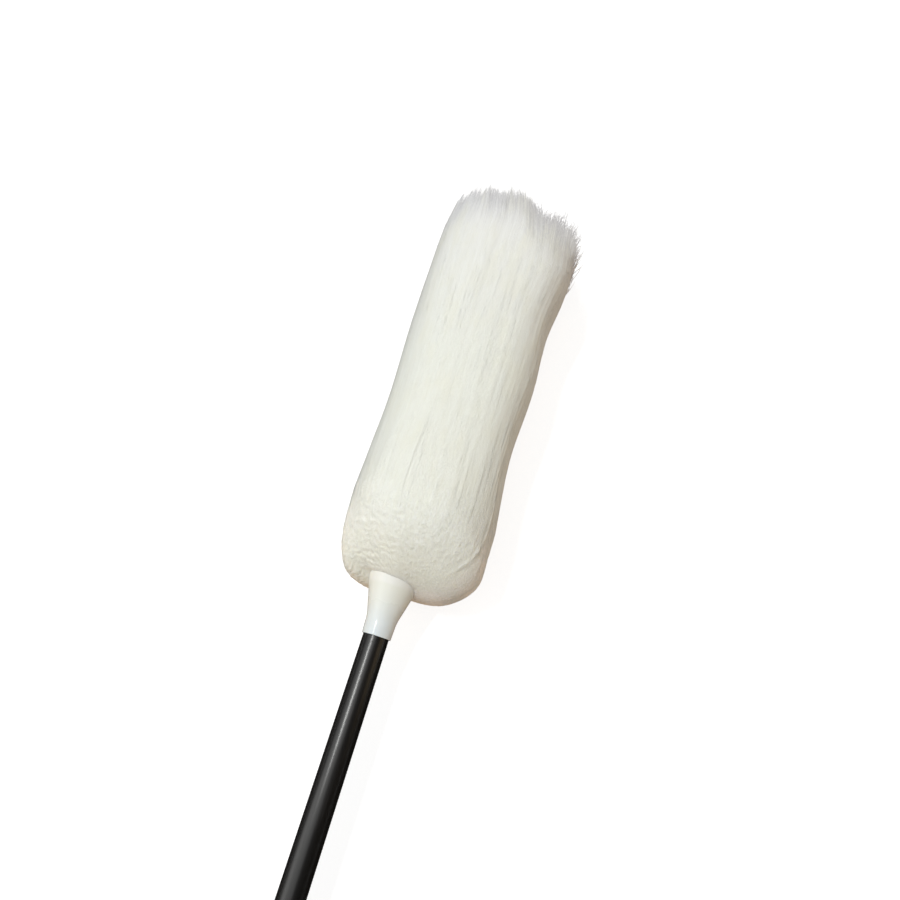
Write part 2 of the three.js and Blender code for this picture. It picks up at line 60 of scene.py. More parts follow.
# %% Axes of the pole and places along it
MM = 0.001
turn_joint = next(joint for joint in frame["joints"] if joint["name"] == "pole_turn")
ALONG = Vector(turn_joint["axis"]).normalized()
SIDE = Vector((0, 1, 0))
RISE = ALONG.cross(SIDE)


def from_pole(node, zero):
    """Each vertex of a CAD node as millimetres along the pole, and millimetres from its axis."""
    vertices = frame["nodes"][node].data.vertices
    points = np.empty(len(vertices) * 3)
    vertices.foreach_get("co", points)
    offset = points.reshape(-1, 3) - np.array(zero)
    along = offset @ np.array(ALONG)
    radius = np.linalg.norm(offset - np.outer(along, ALONG), axis=1)
    return along / MM, radius / MM


joint_point = Vector(turn_joint["pos_m"])
MOUTH = joint_point + ALONG * MM * from_pole("ferrule", joint_point)[0].min()


def place(along, side, rise):
    """Points in metres from places in millimetres on the pole's axes."""
    along, side, rise = np.broadcast_arrays(along, side, rise)
    offset = along[..., None] * np.array(ALONG) + side[..., None] * np.array(SIDE)
    return np.array(MOUTH) + MM * (offset + rise[..., None] * np.array(RISE))


def span(node):
    """A CAD node's lower and upper end along the pole, with its smallest and largest radius."""
    along, radius = from_pole(node, MOUTH)
    return along.min(), along.max(), radius.min(), radius.max()


print("ferrule from %.1f to %.1f mm, wool to %.1f mm" % (*span("ferrule")[:2], span("wool_fleece")[1]))

# %% [markdown]
# ## Camera
# The photograph looks steeply down on the pole from behind its lower end. Its focal length and its two
# angles were worked out from the tube's edges, which narrow with distance. The camera could be moved by
# trial until the picture fits, but a place worked out from one known point stays right when a size
# changes. So it is slid until the middle of the ferrule's mouth falls on the same pixel and at the same
# depth as in the photograph.

# %% Camera at the photograph's viewing angle
PHOTO_PX = 900
FOCAL_PX = 625
SENSOR_MM = 36
HEADING = math.radians(16.417)
LOOK_DOWN = math.radians(66.672)
MOUTH_PX = (376.1, 636.5)
MOUTH_DEPTH = 0.4466

right = Vector((math.sin(HEADING), -math.cos(HEADING), 0))
level = Vector((math.cos(HEADING), math.sin(HEADING), 0))
forward = level * math.cos(LOOK_DOWN) - Vector((0, 0, math.sin(LOOK_DOWN)))
up = right.cross(forward)
across = (MOUTH_PX[0] - PHOTO_PX / 2) / FOCAL_PX * MOUTH_DEPTH
above = (PHOTO_PX / 2 - MOUTH_PX[1]) / FOCAL_PX * MOUTH_DEPTH
eye = MOUTH - forward * MOUTH_DEPTH - right * across - up * above
facing = Matrix((right, up, -forward)).transposed().to_4x4()


def add_object(name, data):
    made = bpy.data.objects.new(name, data)
    scene.collection.objects.link(made)
    return made


camera_data = bpy.data.cameras.new("photo_camera")
camera_data.sensor_width = SENSOR_MM
camera_data.lens = SENSOR_MM * FOCAL_PX / PHOTO_PX
camera_data.clip_start = 0.01
camera = add_object("photo_camera", camera_data)
camera.matrix_world = Matrix.Translation(eye) @ facing
scene.camera = camera
print("camera at", [round(x, 3) for x in eye], "lens", round(camera_data.lens, 1), "mm")

# %% [markdown]
# ## Values that add their own nodes
# A shader or a Geometry Nodes tree is easier to read as a formula than as a list of links. `Wire` holds one
# output socket, and arithmetic on it adds Math or Vector Math nodes. Any other node comes from `Tree.node`,
# which sets the node's options first and then fills its sockets with numbers or wires.

# %% Node trees written as Python
NODE_KINDS = ("ShaderNode", "GeometryNode", "FunctionNode", "")


def arithmetic(operation):
    return lambda wire, other: wire.maths(operation, other)


class Wire:
    """An output socket that can be used in Python arithmetic."""

    def __init__(self, tree, socket):
        self.tree = tree
        self.socket = socket

    def maths(self, operation, *others):
        return self.tree.maths(operation, self, *others)

    def __rsub__(self, other):
        return self.tree.maths("SUBTRACT", other, self)

    __add__ = __radd__ = arithmetic("ADD")
    __sub__ = arithmetic("SUBTRACT")
    __mul__ = __rmul__ = arithmetic("MULTIPLY")
    __truediv__ = arithmetic("DIVIDE")
    __pow__ = arithmetic("POWER")

    def others(self, *names):
        """Further outputs of the node that this one comes from."""
        return [Wire(self.tree, self.socket.node.outputs[name]) for name in names]

    def part(self, axis):
        return self.tree.node("SeparateXYZ", {"Vector": self}, output=axis)

    def number(self, operation, other):
        """A number worked out from two vectors."""
        return self.tree.node("VectorMath", {0: self, 1: other}, "Value", operation=operation)

    def dot(self, other):
        return self.number("DOT_PRODUCT", other)

    def eased(self, start, end, low=0.0, high=1.0):
        """A smooth step from low to high."""
        sockets = {"Value": self, "From Min": start, "From Max": end, "To Min": low, "To Max": high}
        return self.tree.node("MapRange", sockets, interpolation_type="SMOOTHSTEP")

    def mix(self, first, second):
        """Two colours blended, with this value as the share of the second one."""
        pair = [(*colour, 1) if isinstance(colour, tuple) else colour for colour in (first, second)]
        return self.tree.node("Mix", {0: self, 6: pair[0], 7: pair[1]}, 2, data_type="RGBA")

    def noise(self, scale=1.0, detail=3.0):
        return self.tree.node("TexNoise", {"Vector": self, "Scale": scale, "Detail": detail})


class Tree:
    """A node tree with one method that adds any node."""

    def __init__(self, tree):
        self.tree = tree

    def fill(self, socket, value):
        if isinstance(value, Wire):
            self.tree.links.new(value.socket, socket)
        elif socket.type in ("VECTOR", "RGBA") and isinstance(value, (int, float)):
            socket.default_value = [value] * len(socket.default_value)
        else:
            socket.default_value = value

    def node(self, kind, sockets=None, output=0, **settings):
        start = next(start for start in NODE_KINDS if hasattr(bpy.types, start + kind))
        made = self.tree.nodes.new(start + kind)
        for name, value in settings.items():
            if name == "stops":
                ramp = made.color_ramp.elements
                while len(ramp) < len(value):
                    ramp.new(1)
                for stop, (where, colour) in zip(ramp, value):
                    stop.position = where
                    stop.color = (*colour, 1)
            else:
                setattr(made, name, value)
        for key, value in (sockets or {}).items():
            self.fill(made.inputs[key], value)
        return Wire(self, made.outputs[output]) if made.outputs else made

    def maths(self, operation, *values):
        kinds = [value.socket.type if isinstance(value, Wire) else type(value) for value in values]
        vector = any(kind in ("VECTOR", "RGBA", Vector) for kind in kinds)
        kind = "VectorMath" if vector else "Math"
        return self.node(kind, dict(enumerate(values)), operation=operation)


print("node helpers ready")

# %% [markdown]
# ## Floor and light
# The photograph has a white ground, soft light from the upper left and a bright streak along the tube.
# More light would turn the floor white, but it would bleach the wool as well. So the floor sends the
# camera a little light of its own, and still keeps the shadow. A long key lamp gives the shading and the
# streak, a fill lamp softens it, and a weak warm lamp lights the shaded side. Three dark cards, which
# only reflections show, darken the edges of the black tube.

# %% Floor and cards
FLOOR_HALF = 6.0
FLOOR_SEEN = (0.45, 0.45, 0.45)
FLOOR_BOUNCE = (0.7, 0.46, 0.26)
FLOOR_GLOW = 0.8
PURE_WHITE = (1, 1, 1, 1)
CARD = (0.02, 0.018, 0.016, 1)
CARD_START = -3
CARDS = (
    # name, upper edge, lower edge, end along the pole
    ("right_card", (-0.35, 1.7), (-2.6, 0.02), 3),
    ("left_card", (1.3, 0.65), (2.2, 0.02), 3),
    ("floor_card", (0.7, 0.001), (-0.7, 0.001), 0.2),
)


def new_material(name):
    material = bpy.data.materials.new(name)
    material.use_nodes = True
    material.node_tree.nodes.clear()
    return material, Tree(material.node_tree)


def is_seen(tree):
    """1 for rays that show the surroundings themselves: from the camera, a reflection or through glass."""
    camera_ray = tree.node("LightPath", output="Is Camera Ray")
    glossy_ray, clear_ray = camera_ray.others("Is Glossy Ray", "Is Transmission Ray")
    return camera_ray.maths("MAXIMUM", glossy_ray.maths("MAXIMUM", clear_ray))


def stage_sheet(name, corners, finish):
    """A flat sheet that belongs to the stage."""
    mesh = bpy.data.meshes.new(name)
    mesh.from_pydata(corners, [], [(0, 1, 2, 3)])
    mesh.materials.append(finish)
    sheet = add_object(name, mesh)
    return sheet


floor_finish, tree = new_material("pale_floor")
seen = is_seen(tree)
lit = tree.node("BsdfDiffuse", {"Color": seen.mix(FLOOR_BOUNCE, FLOOR_SEEN)})
glow = tree.node("Emission", {"Color": PURE_WHITE, "Strength": seen * FLOOR_GLOW})
both = tree.node("AddShader", {0: lit, 1: glow})
tree.node("OutputMaterial", {"Surface": both})
corners = [(x * FLOOR_HALF, y * FLOOR_HALF, 0) for x, y in ((-1, -1), (1, -1), (1, 1), (-1, 1))]
stage_sheet("floor", corners, floor_finish)

card_finish, tree = new_material("dark_card")
dull = tree.node("BsdfDiffuse", {"Color": CARD})
tree.node("OutputMaterial", {"Surface": dull})
for name, top, foot, end in CARDS:
    corners = [(CARD_START, *top), (end, *top), (end, *foot), (CARD_START, *foot)]
    card = stage_sheet(name, corners, card_finish)
    card.visible_camera = False
    card.visible_diffuse = False
    card.visible_shadow = False
print("stage: floor and", len(CARDS), "cards")

# %% Sky and lamps
SKY = 0.42
LAMPS = (
    # name, place, aim, size, watts, colour
    ("key_lamp", (0.34, 0.50, 1.25), (0.2, 0, 0.04), (0.6, 0.042), 8.75, (1, 1, 0.98)),
    ("fill_lamp", (-0.4, 0.95, 0.7), (0.15, 0, 0.04), (0.8, 0.8), 2.2, (1, 1, 0.98)),
    ("side_lamp", (0.7, -1.2, 0.5), (0.3, 0, 0.04), (0.8, 0.8), 1.65, (1, 0.76, 0.46)),
)

world = bpy.data.worlds.new("studio")
world.use_nodes = True
world.node_tree.nodes.clear()
tree = Tree(world.node_tree)
brightness = SKY + is_seen(tree) * (1 - SKY)
sky = tree.node("Background", {"Color": PURE_WHITE, "Strength": brightness})
tree.node("OutputWorld", {"Surface": sky})
scene.world = world

for name, where, aim, size, watts, colour in LAMPS:
    light = bpy.data.lights.new(name, "AREA")
    light.shape = "RECTANGLE"
    light.size, light.size_y = size
    light.energy = watts
    light.color = colour
    lamp = add_object(name, light)
    lamp.location = where
    lamp.rotation_euler = (Vector(aim) - Vector(where)).to_track_quat("-Z", "Y").to_euler()
    print(name, watts, "W")

# %% [markdown]
# ## Wool: the shape of the head
# The real head is a thick pelt on a rod, with its long wool combed towards the tip. It could be made of
# fibres alone, but far too many would be needed before nothing shows between them. A sculpted lump would
# have no soft edge. So a solid form comes first and carries thin coats of fibres. It is made of rings
# along the pole: wider to one side, flat on the floor, folded back over the ferrule's rim and blunt at
# the tip. Sizes are in millimetres on the pole's axes. Where one changes along the pole or round it, a
# few points give it and a curve joins them.

# %% Sizes of the head and the ferrule
_, RIM, NECK_BORE, RIM_RADIUS = span("ferrule")
NECK = 8  # length of the ferrule's straight neck
NECK_CURVE = 8  # length of the curve from the neck to the cone
NECK_RADII = (10.7, 11.1)
FERRULE_LIP = 4
FLEECE_START = RIM + 0.5
FLUFF = 0.6  # thickness of the loose fibres over the form
UNDERSIDE = 1.5  # height of the form over the floor, with room for fibres below it
FLATTENED = 18  # depth over which the round side turns into the flattened underside
BASE_ROUND = {"left": 56, "right": 26, "top": 55}  # length over which the base swells, on each side
EDGE_BACK = (  # how far the wool's edge hangs back past the rim, by degrees up from the left side
    (-90, 13), (-25, 13), (-8, 12), (8, 9), (22, 5), (45, 4.2), (90, 5.5), (120, 6.2), (150, 8), (175, 12),
    (270, 13),
)
LOBE_BACK = (  # the same for the swelling above the edge
    (-90, 19), (-25, 19), (-8, 18), (8, 15), (25, 8.5), (50, 4.8), (90, 5.5), (120, 6.3), (150, 9),
    (175, 14.5), (270, 17),
)
LOBE_WIDEST = 0.7  # share of the swelling at which the wool hangs back furthest
HANG_LENGTH = 70  # length over which hanging back fades out
EDGE_GAP = -0.3  # the edge of the wool presses on the ferrule
TOP_ROUND = (0.1, 0.95)  # sines between which the blunt sides turn into the softer top of the base
LEFT_WIDTH = ((95, 51), (170, 49), (250, 52.8), (325, 52.8), (385, 53))
RIGHT_WIDTH = ((95, 62.5), (160, 58.3), (227, 62), (267, 60.5), (345, 67.5), (385, 66))
SECTION_SIDE = -5.5  # the head hangs a little to one side of the pole
SECTION_RISE = 4  # middle of the section that the fibres are combed round
HEIGHT = 0.9
BOXY = ((0.6, 60, 150), (0.5, 230, 330))  # what turns the section from an ellipse to a box, and where
FORM_TIP = 414
TIP_ROUND = 30
TIP_BLUNT = 2.5
TIP_SLANT = 0.84  # how far the upper side of the tip is set back, for each unit of height
SLANT_LENGTH = 190
TIP_CUT = (  # where the head is trimmed, from left to right
    (-68, 386), (-56, 398), (-42, 410), (-24, 420), (-4, 423), (18, 423), (30, 408), (44, 402), (60, 390),
    (70, 377),
)
CUT_LENGTH = 90
HEAD_LENGTH = 430
COLUMNS = 320
EDGE_RINGS = 36
EDGE_RUN = 12
BASE_END = 120
BASE_STEP = 0.9
HEAD_STEP = 3.0
TIP_RINGS = 22
TIP_RUN = 24
print("fleece from %.1f mm, form to %d mm" % (FLEECE_START, FORM_TIP))


# %% Curves, the ferrule's outside and the floor
def eased(low, high, value):
    share = np.clip((value - low) / (high - low), 0, 1)
    return share * share * (3 - 2 * share)


def smooth_line(points, where):
    """A curve through a few points, with the slope at each one taken from its neighbours."""
    x, y = (np.array(axis, float) for axis in zip(*points))
    slope = np.gradient(y, x)
    where = np.clip(where, x[0], x[-1])
    i = np.clip(np.searchsorted(x, where, side="right") - 1, 0, len(x) - 2)
    width = x[i + 1] - x[i]
    t = (where - x[i]) / width
    rest = 1 - t
    ends = y[i] * (1 + 2 * t) * rest**2 + y[i + 1] * (3 - 2 * t) * t**2
    return ends + width * t * rest * (slope[i] * rest - slope[i + 1] * t)


def blunt(share, power):
    return (1 - (1 - np.clip(share, 0, 1)) ** power) ** (1 / power)


def degrees_up(angle):
    """Degrees up from the left side, from -90 to 270."""
    return (np.degrees(angle) + 90) % 360 - 90


def ferrule_skin(along):
    """Radius of the ferrule's outside: a neck, a short curve and a straight cone."""
    start, end = NECK_RADII
    flare = (RIM_RADIUS - end) / (RIM - FERRULE_LIP - NECK - NECK_CURVE / 2)
    past = np.clip(along, NECK, RIM - FERRULE_LIP) - NECK
    rise = np.where(past < NECK_CURVE, past**2 / (2 * NECK_CURVE), past - NECK_CURVE / 2)
    return np.where(along < NECK, start + (end - start) * along / NECK, end + flare * rise)


def floor_level(along):
    """Height of the floor on the pole's axes."""
    return -(MOUTH.z / MM + along * ALONG.z) / RISE.z


print("at the rim: radius %.1f mm, floor %.1f mm" % (ferrule_skin(RIM), floor_level(RIM)))


# %% Rings of the form
def fleece_point(station, angle):
    """Places of the form's outside, before any relief."""
    across, upward = np.cos(angle), np.sin(angle)
    sideways = np.where(across > 0, BASE_ROUND["left"], BASE_ROUND["right"])
    swelling = BASE_ROUND["top"] + (sideways - BASE_ROUND["top"]) * across**2
    grown = np.clip((station - FLEECE_START) / swelling, 0, 1)
    settled = eased(0, 1, grown)
    on_top = eased(*TOP_ROUND, upward)
    swollen = blunt(grown, 2) * (1 - on_top) + np.sin(grown * math.pi / 2) * on_top

    edge_back, lobe_back = (smooth_line(back, degrees_up(angle)) for back in (EDGE_BACK, LOBE_BACK))
    back = edge_back + (lobe_back - edge_back) * eased(0, LOBE_WIDEST, swollen)
    along = station - back * (1 - eased(FLEECE_START, FLEECE_START + HANG_LENGTH, station))

    left, right = smooth_line(LEFT_WIDTH, along), smooth_line(RIGHT_WIDTH, along)
    mean = (left + right) / 2
    wide = np.where(across > 0, left, right)
    wide = mean + (wide - mean - np.sign(across) * SECTION_SIDE) * np.abs(across)
    edge = ferrule_skin(FLEECE_START - edge_back) + EDGE_GAP
    swell = edge + (wide - FLUFF - edge) * swollen
    power = 2
    for more, low, high in BOXY:
        power = power + more * eased(low, high, along)
    boxy = (np.abs(across) ** power + np.abs(upward) ** power) ** (-1 / power)
    radius = swell * boxy * blunt((FORM_TIP - along) / TIP_ROUND, TIP_BLUNT)

    level, upright = floor_level(along) + UNDERSIDE, radius * (1 + (HEIGHT - 1) * settled) * upward
    pressed = np.clip(1 - np.abs(upright - level) / FLATTENED, 0, 1)
    rise = np.maximum(upright, level) + pressed**2 * FLATTENED / 4
    side = radius * across + SECTION_SIDE * settled
    slant = TIP_SLANT * np.maximum(rise, 0) * eased(FORM_TIP - SLANT_LENGTH, FORM_TIP, along)
    cut_back = (HEAD_LENGTH - smooth_line(TIP_CUT, -side)) * eased(FORM_TIP - CUT_LENGTH, FORM_TIP, along)
    return along - slant - cut_back, side, rise


def turns(count):
    """Angles evenly round the pole."""
    return np.linspace(0, 2 * math.pi, count, endpoint=False)


stations = np.concatenate(
    (
        FLEECE_START + EDGE_RUN * np.linspace(0, 1, EDGE_RINGS, endpoint=False) ** 2,
        np.arange(FLEECE_START + EDGE_RUN, BASE_END, BASE_STEP),
        np.arange(BASE_END, FORM_TIP - TIP_RUN, HEAD_STEP),
        FORM_TIP - TIP_RUN * (1 - np.linspace(0, 1, TIP_RINGS)) ** 2,
    )
)
angles = turns(COLUMNS)
grid = np.stack(fleece_point(stations[:, None], angles[None, :]), axis=-1)
print("fleece form:", grid.shape[0], "rings of", COLUMNS, "points")

# %% [markdown]
# ## Wool: relief of locks and crimps
# Combed wool lies in soft locks along the head, and near the skin it keeps its natural crimp, which shows
# at the base as rows of small scallops. A bump map could draw them, but real height also changes the
# outline and the way the fibres lie, so the relief is pushed into the form. Noise stretched along the
# pole gives the locks and finer streaks, even noise the felt of the base. The crimps are a wave along the
# pole whose phase changes from lock to lock, so that neighbouring scallops don't line up. A fold runs up
# the right of the base, and one corner of the tip is frayed.

# %% Crimps, felt and fold of the base
CRIMP_LENGTH = 5.2
CRIMP_HEIGHT = ((-30, 0.36), (5, 0.5), (45, 0.48), (80, 0.42), (110, 0.32), (150, 0.05), (180, 0))
CRIMP_FADE = (32, 70)
LOCK_WIDTH = 7
LOCK_REACH = 45  # radius at which the width of a lock is measured
LOCK_KINDS = 64
FELT = 0.26
FELT_FADE = (50, 125)
FOLD_LINE = ((30, 160), (40, 153), (52, 147.5), (66, 147.5), (90, 153.5), (110, 152), (150, 141))
FOLD_REACH = 55  # radius at which the fold lies
FOLD_LIP = (0.5, 0, 1.5)  # height, distance from the fold and half width
FOLD_DIP = (-0.3, 5, 3.5)
FOLD_STARTS = (26, 37)
FOLD_ENDS = (115, 155)


def noise_at(points, along, across, seed):
    """Noise from -1 to 1 that changes over so many millimetres along the pole and across it."""
    flat = (points / np.array((along, across, across)) + seed * 17.3).reshape(-1, 3)
    return np.array([noise.noise(Vector(p)) for p in flat]).reshape(points.shape[:-1])


def ridge(size, distance):
    height, middle, width = size
    return height * np.exp(-(((distance - middle) / width) ** 2))


along = grid[..., 0]
degrees = degrees_up(angles)
steps = np.linalg.norm(np.diff(grid, axis=0), axis=-1)
run = np.concatenate((np.zeros((1, COLUMNS)), np.cumsum(steps, axis=0)))

crimped = 1 - eased(*CRIMP_FADE, run + 10 * noise_at(grid, 30, 18, 1))
lock = np.radians(degrees) * LOCK_REACH / LOCK_WIDTH + 1.1 * noise_at(grid, 22, 12, 2)
lock_phase = np.random.default_rng(5).random(LOCK_KINDS)[np.floor(lock).astype(int) % LOCK_KINDS]
in_lock = lock - np.floor(lock)
phase = run / CRIMP_LENGTH + lock_phase + 0.3 * in_lock + 0.6 * noise_at(grid, 9, 6, 3)
arc = np.sin(math.pi * in_lock) ** 0.8 * np.clip(0.75 + 0.9 * noise_at(grid, 11, 8, 4), 0.1, 1.2)
crimps = smooth_line(CRIMP_HEIGHT, degrees) * crimped * arc * np.cos(2 * math.pi * phase)

felted = 1 - eased(*FELT_FADE, run + 15 * noise_at(grid, 30, 18, 15))
felt = FELT * felted * (noise_at(grid, 3.4, 2.8, 9) + 0.6 * noise_at(grid, 2.1, 1.8, 10))
from_fold = np.radians(degrees - smooth_line(FOLD_LINE, along)) * FOLD_REACH
fold_shows = eased(*FOLD_STARTS, along) * (1 - eased(*FOLD_ENDS, along))
fold_relief = (ridge(FOLD_LIP, from_fold) + ridge(FOLD_DIP, from_fold)) * fold_shows
print("crimps to %.2f mm, felt to %.2f mm, fold to %.2f mm" % (crimps.max(), felt.max(), fold_relief.max()))

# %% Locks, streaks and the frayed corner
COMB_WANDER = 7
SHADED_RIGHT = (85, 140)  # degrees up over which the streaks grow deeper
SHADED_LEFT = (30, 75)
TIP_CALM = 12
FRAY_START = (320, 370)
FRAY_SIDE = (20, 55)
wander = np.stack((0 * run, noise_at(grid, 55, 30, 13), noise_at(grid, 55, 30, 14)), axis=-1)
combed = grid + COMB_WANDER * wander
locks = 0.5 * noise_at(combed, 110, 15, 5) + 0.13 * noise_at(combed, 70, 6, 6)
in_shade = 1.6 * eased(*SHADED_RIGHT, degrees) + 0.9 * (1 - eased(*SHADED_LEFT, degrees))
streaks = (0.06 + 0.1 * in_shade) * noise_at(combed, 45, 2.4, 7)
before_tip = eased(FORM_TIP, FORM_TIP - TIP_CALM, stations)[:, None]
frayed_edge = eased(*FRAY_START, along) * eased(*FRAY_SIDE, -grid[..., 1]) * before_tip
fraying = 1.6 * noise_at(grid, 14, 14, 11) + 0.9 * noise_at(grid, 5, 5, 12)
print("locks to %.2f mm, streaks to %.2f mm" % (locks.max(), streaks.max()))

# %% Push the relief into the form
EDGE_CALM = 18  # length without much relief at the edge over the ferrule
loose = eased(FLEECE_START, FLEECE_START + EDGE_CALM, along) * before_tip
relief = (locks * (1 - 0.6 * crimped) + streaks + felt + fold_relief) * loose
relief = relief + crimps * eased(0, 8, run) + frayed_edge * fraying
outward = np.cross(np.roll(grid, -1, axis=1) - np.roll(grid, 1, axis=1), np.gradient(grid, axis=0))
outward = outward / np.maximum(np.linalg.norm(outward, axis=-1, keepdims=True), 1e-9)
outward = outward * np.sign(np.median(outward[len(grid) // 2, :, 2] * np.sin(angles)))
grid = grid + relief[..., None] * outward
grid[..., 2] = np.maximum(grid[..., 2], floor_level(grid[..., 0]) + UNDERSIDE - FLUFF)
print("relief from %.1f to %.1f mm" % (relief.min(), relief.max()))

# %% [markdown]
# ## Wool: closing the form
# The form could stay open where nobody looks, but then light would leak in, and some fibres would find no
# skin to lie on. So the rings close on one point at the tip. At the base the edge turns in under itself
# and runs up along the ferrule to its rim, as the pelt does. The form also carries what the fibres need
# to know: where the head was trimmed, where it is frayed, and a map of its surface.

# %% Close the form and make it a mesh
FOLD_RINGS = 8
FOLD_END = RIM + 0.6


def rings_to_mesh(name, rings, closing_points):
    """A closed skin over rings of points, with a fan at each end."""
    count, columns = rings.shape[:2]
    points = np.concatenate((rings.reshape(-1, 3), closing_points))
    i, j = np.meshgrid(np.arange(count - 1), np.arange(columns), indexing="ij")
    here, after = i * columns + j, i * columns + (j + 1) % columns
    quads = np.stack((here, after, after + columns, here + columns), -1)
    faces = [tuple(face) for face in quads.reshape(-1, 4).tolist()]
    first, last = count * columns, count * columns + 1
    top = (count - 1) * columns
    for j in range(columns):
        faces.append((first, (j + 1) % columns, j))
        faces.append((last, top + j, top + (j + 1) % columns))
    mesh = bpy.data.meshes.new(name)
    mesh.from_pydata(points.tolist(), [], faces)
    mesh.shade_smooth()
    return mesh


inner_share = np.linspace(0, 1, FOLD_RINGS)[:, None]
start_along, start_side, start_rise = grid[0].T
fold_along = start_along + inner_share * (FOLD_END - start_along)
fold_radius = np.minimum(ferrule_skin(fold_along) + EDGE_GAP, np.hypot(start_side, start_rise))
fold_angle = np.arctan2(start_rise, start_side)
fold = np.stack((fold_along, fold_radius * np.cos(fold_angle), fold_radius * np.sin(fold_angle)), axis=-1)[1:]
rings = np.concatenate((fold[::-1], grid[:-1]))
ends = np.array(((FOLD_END, 0, 0), grid[-1].mean(axis=0)))
form_mesh = rings_to_mesh("fleece_form", place(*np.moveaxis(rings, -1, 0)), place(*ends.T))
fleece_form = add_object("fleece_form", form_mesh)
print("fleece form:", len(form_mesh.polygons), "faces")

# %% What the form carries for the fibres
FIBRE_MAP = "OFBake"
LOOSE_START = (305, 375)  # where fibres stand off the frayed corner
LOOSE_SIDE = (8, 42)
pole_places = np.concatenate((rings.reshape(-1, 3), ends))
trim = smooth_line(TIP_CUT, -pole_places[:, 1]) - TIP_SLANT * np.maximum(pole_places[:, 2], 0)
fray = eased(*LOOSE_START, pole_places[:, 0]) * eased(*LOOSE_SIDE, -pole_places[:, 1])
# Depth in the troughs of the crimps, which the form's finish paints darker: painted shade in the hollows.
trough = np.zeros(len(pole_places))
trough[-len(ends) - grid[:-1, :, 0].size : -len(ends)] = np.clip(-2 * crimps[:-1], 0, 1).ravel()
for name, values in (("trim", trim * MM), ("fray", fray), ("trough", trough)):
    form_mesh.attributes.new(name, "FLOAT", "POINT").data.foreach_set("value", values)

corner = np.empty(len(form_mesh.loops), np.int32)
form_mesh.loops.foreach_get("vertex_index", corner)
corner_turn = corner % COLUMNS / COLUMNS
quads = len(rings[1:]) * COLUMNS * 4
wraps = np.zeros(len(corner), bool)
wraps[:quads] = np.tile((False, True, True, False), quads // 4) & (corner_turn[:quads] == 0)
corner_turn[wraps] = 1
form_map = np.stack((pole_places[corner, 0] / HEAD_LENGTH, corner_turn), axis=-1)
form_mesh.uv_layers.new(name=FIBRE_MAP).uv.foreach_set("vector", form_map.ravel())
print("the form carries trim, fray, trough and the map", FIBRE_MAP)

# %% [markdown]
# ## Wool: colour of the fibres
# Raw wool is a warm white, creamier near the skin and a cool grey-white where the ends thin out at the
# tip, and no two fibres are alike. Noise over the whole head would look like paint that lies across them,
# so each fibre has a tone of its own. A map holds it: across the map the place along the head, up it a
# number for each fibre, which is low in the partings between tufts. A low number makes a fibre darker, a
# little anywhere and much more near its trimmed end, so the partings get painted shade. Where the wool
# meets the ferrule's rim it is darker as well as creamier, which is partly painted shade. Patches keep
# more cream-coloured grease, and a bump lays a fine fuzz over the middle of the head.

# %% Finish of the fibres
HEAD_COLOURS = (
    # This darker, creamier stop, where the wool folds over the ferrule's rim, is partly the creamier wool
    # near the skin and partly painted shade at the rim.
    (0.08, (0.81, 0.805, 0.715)),
    (0.12, (0.9, 0.91, 0.82)),
    (0.18, (0.91, 0.93, 0.865)),
    (0.5, (0.89, 0.915, 0.86)),
    (0.77, (0.89, 0.905, 0.885)),
    (0.86, (0.9, 0.912, 0.94)),
    (1.0, (0.93, 0.945, 0.99)),
)
WOOL_SHADE = (0.66, 0.61, 0.5)
PARTING_SHADE = (0.5, 0.505, 0.55)
CREAM = (0.88, 0.885, 0.76)
CREAM_CHANGES = Vector((35, 90, 90))  # how often a pattern changes in a metre
FUZZ_CHANGES = Vector((330, 480, 480))
BUMP_DEPTH = 0.0008
DULL = {"Roughness": 0.85, "Specular IOR Level": 0.2, "Sheen Weight": 0.25, "Sheen Roughness": 0.5}


def head_colour(tree):
    """Colour along the head, with both numbers of the map."""
    along_head = tree.node("UVMap", uv_map=FIBRE_MAP).part("X")
    colour = tree.node("ValToRGB", {"Fac": along_head}, stops=HEAD_COLOURS)
    return colour, along_head, along_head.others("Y")[0]


def attribute(tree, name):
    return tree.node("Attribute", output="Fac", attribute_name=name)


def bump(height, strength, distance):
    sockets = {"Strength": strength, "Distance": distance, "Height": height}
    return height.tree.node("Bump", sockets)


def coat_with(colour, more):
    """A Principled surface as the material's whole look."""
    shader = colour.tree.node("BsdfPrincipled", {"Base Color": colour, **more})
    colour.tree.node("OutputMaterial", {"Surface": shader})


fibre_finish, tree = new_material("wool_fibre")
colour, along_head, own_shade = head_colour(tree)
where = tree.node("TexCoord", output="Object")
greasy = (where * CREAM_CHANGES).noise().eased(0.42, 0.68)
colour = (greasy * 0.3).mix(colour, CREAM)
# A low number makes a fibre a little darker: a tone of its own, and painted shade where the number is low in
# the partings between tufts.
colour = ((1 - own_shade) * 0.16).mix(colour, WOOL_SHADE)
# Painted shade in the partings: near the trimmed ends, fibres with a low number are made much darker.
in_parting = attribute(tree, "near_end") * (1 - own_shade) ** 3.0
colour = (in_parting * 0.72).mix(colour, PARTING_SHADE)
on_top = where.part("Y").maths("ABSOLUTE").eased(0.02, 0.046, 1.0, 0.0)
fuzz = (where * FUZZ_CHANGES).noise() * on_top * along_head.eased(0.5, 0.8, 1.0, 0.2)
coat_with(colour, {**DULL, "Normal": bump(fuzz, 0.45, BUMP_DEPTH)})
print(fibre_finish.name, "with", len(HEAD_COLOURS), "colours along the head")

# %% Finishes of the frayed fringe and of the form
FRINGE_SHADE = (0.66, 0.66, 0.7)
ROSY_WOOL = (0.86, 0.815, 0.765)
SHADE_BETWEEN_ENDS = (0.46, 0.52, 0.62)
STREAK_CHANGES = Vector((30, 500, 500))
FELT_CHANGES = 700.0

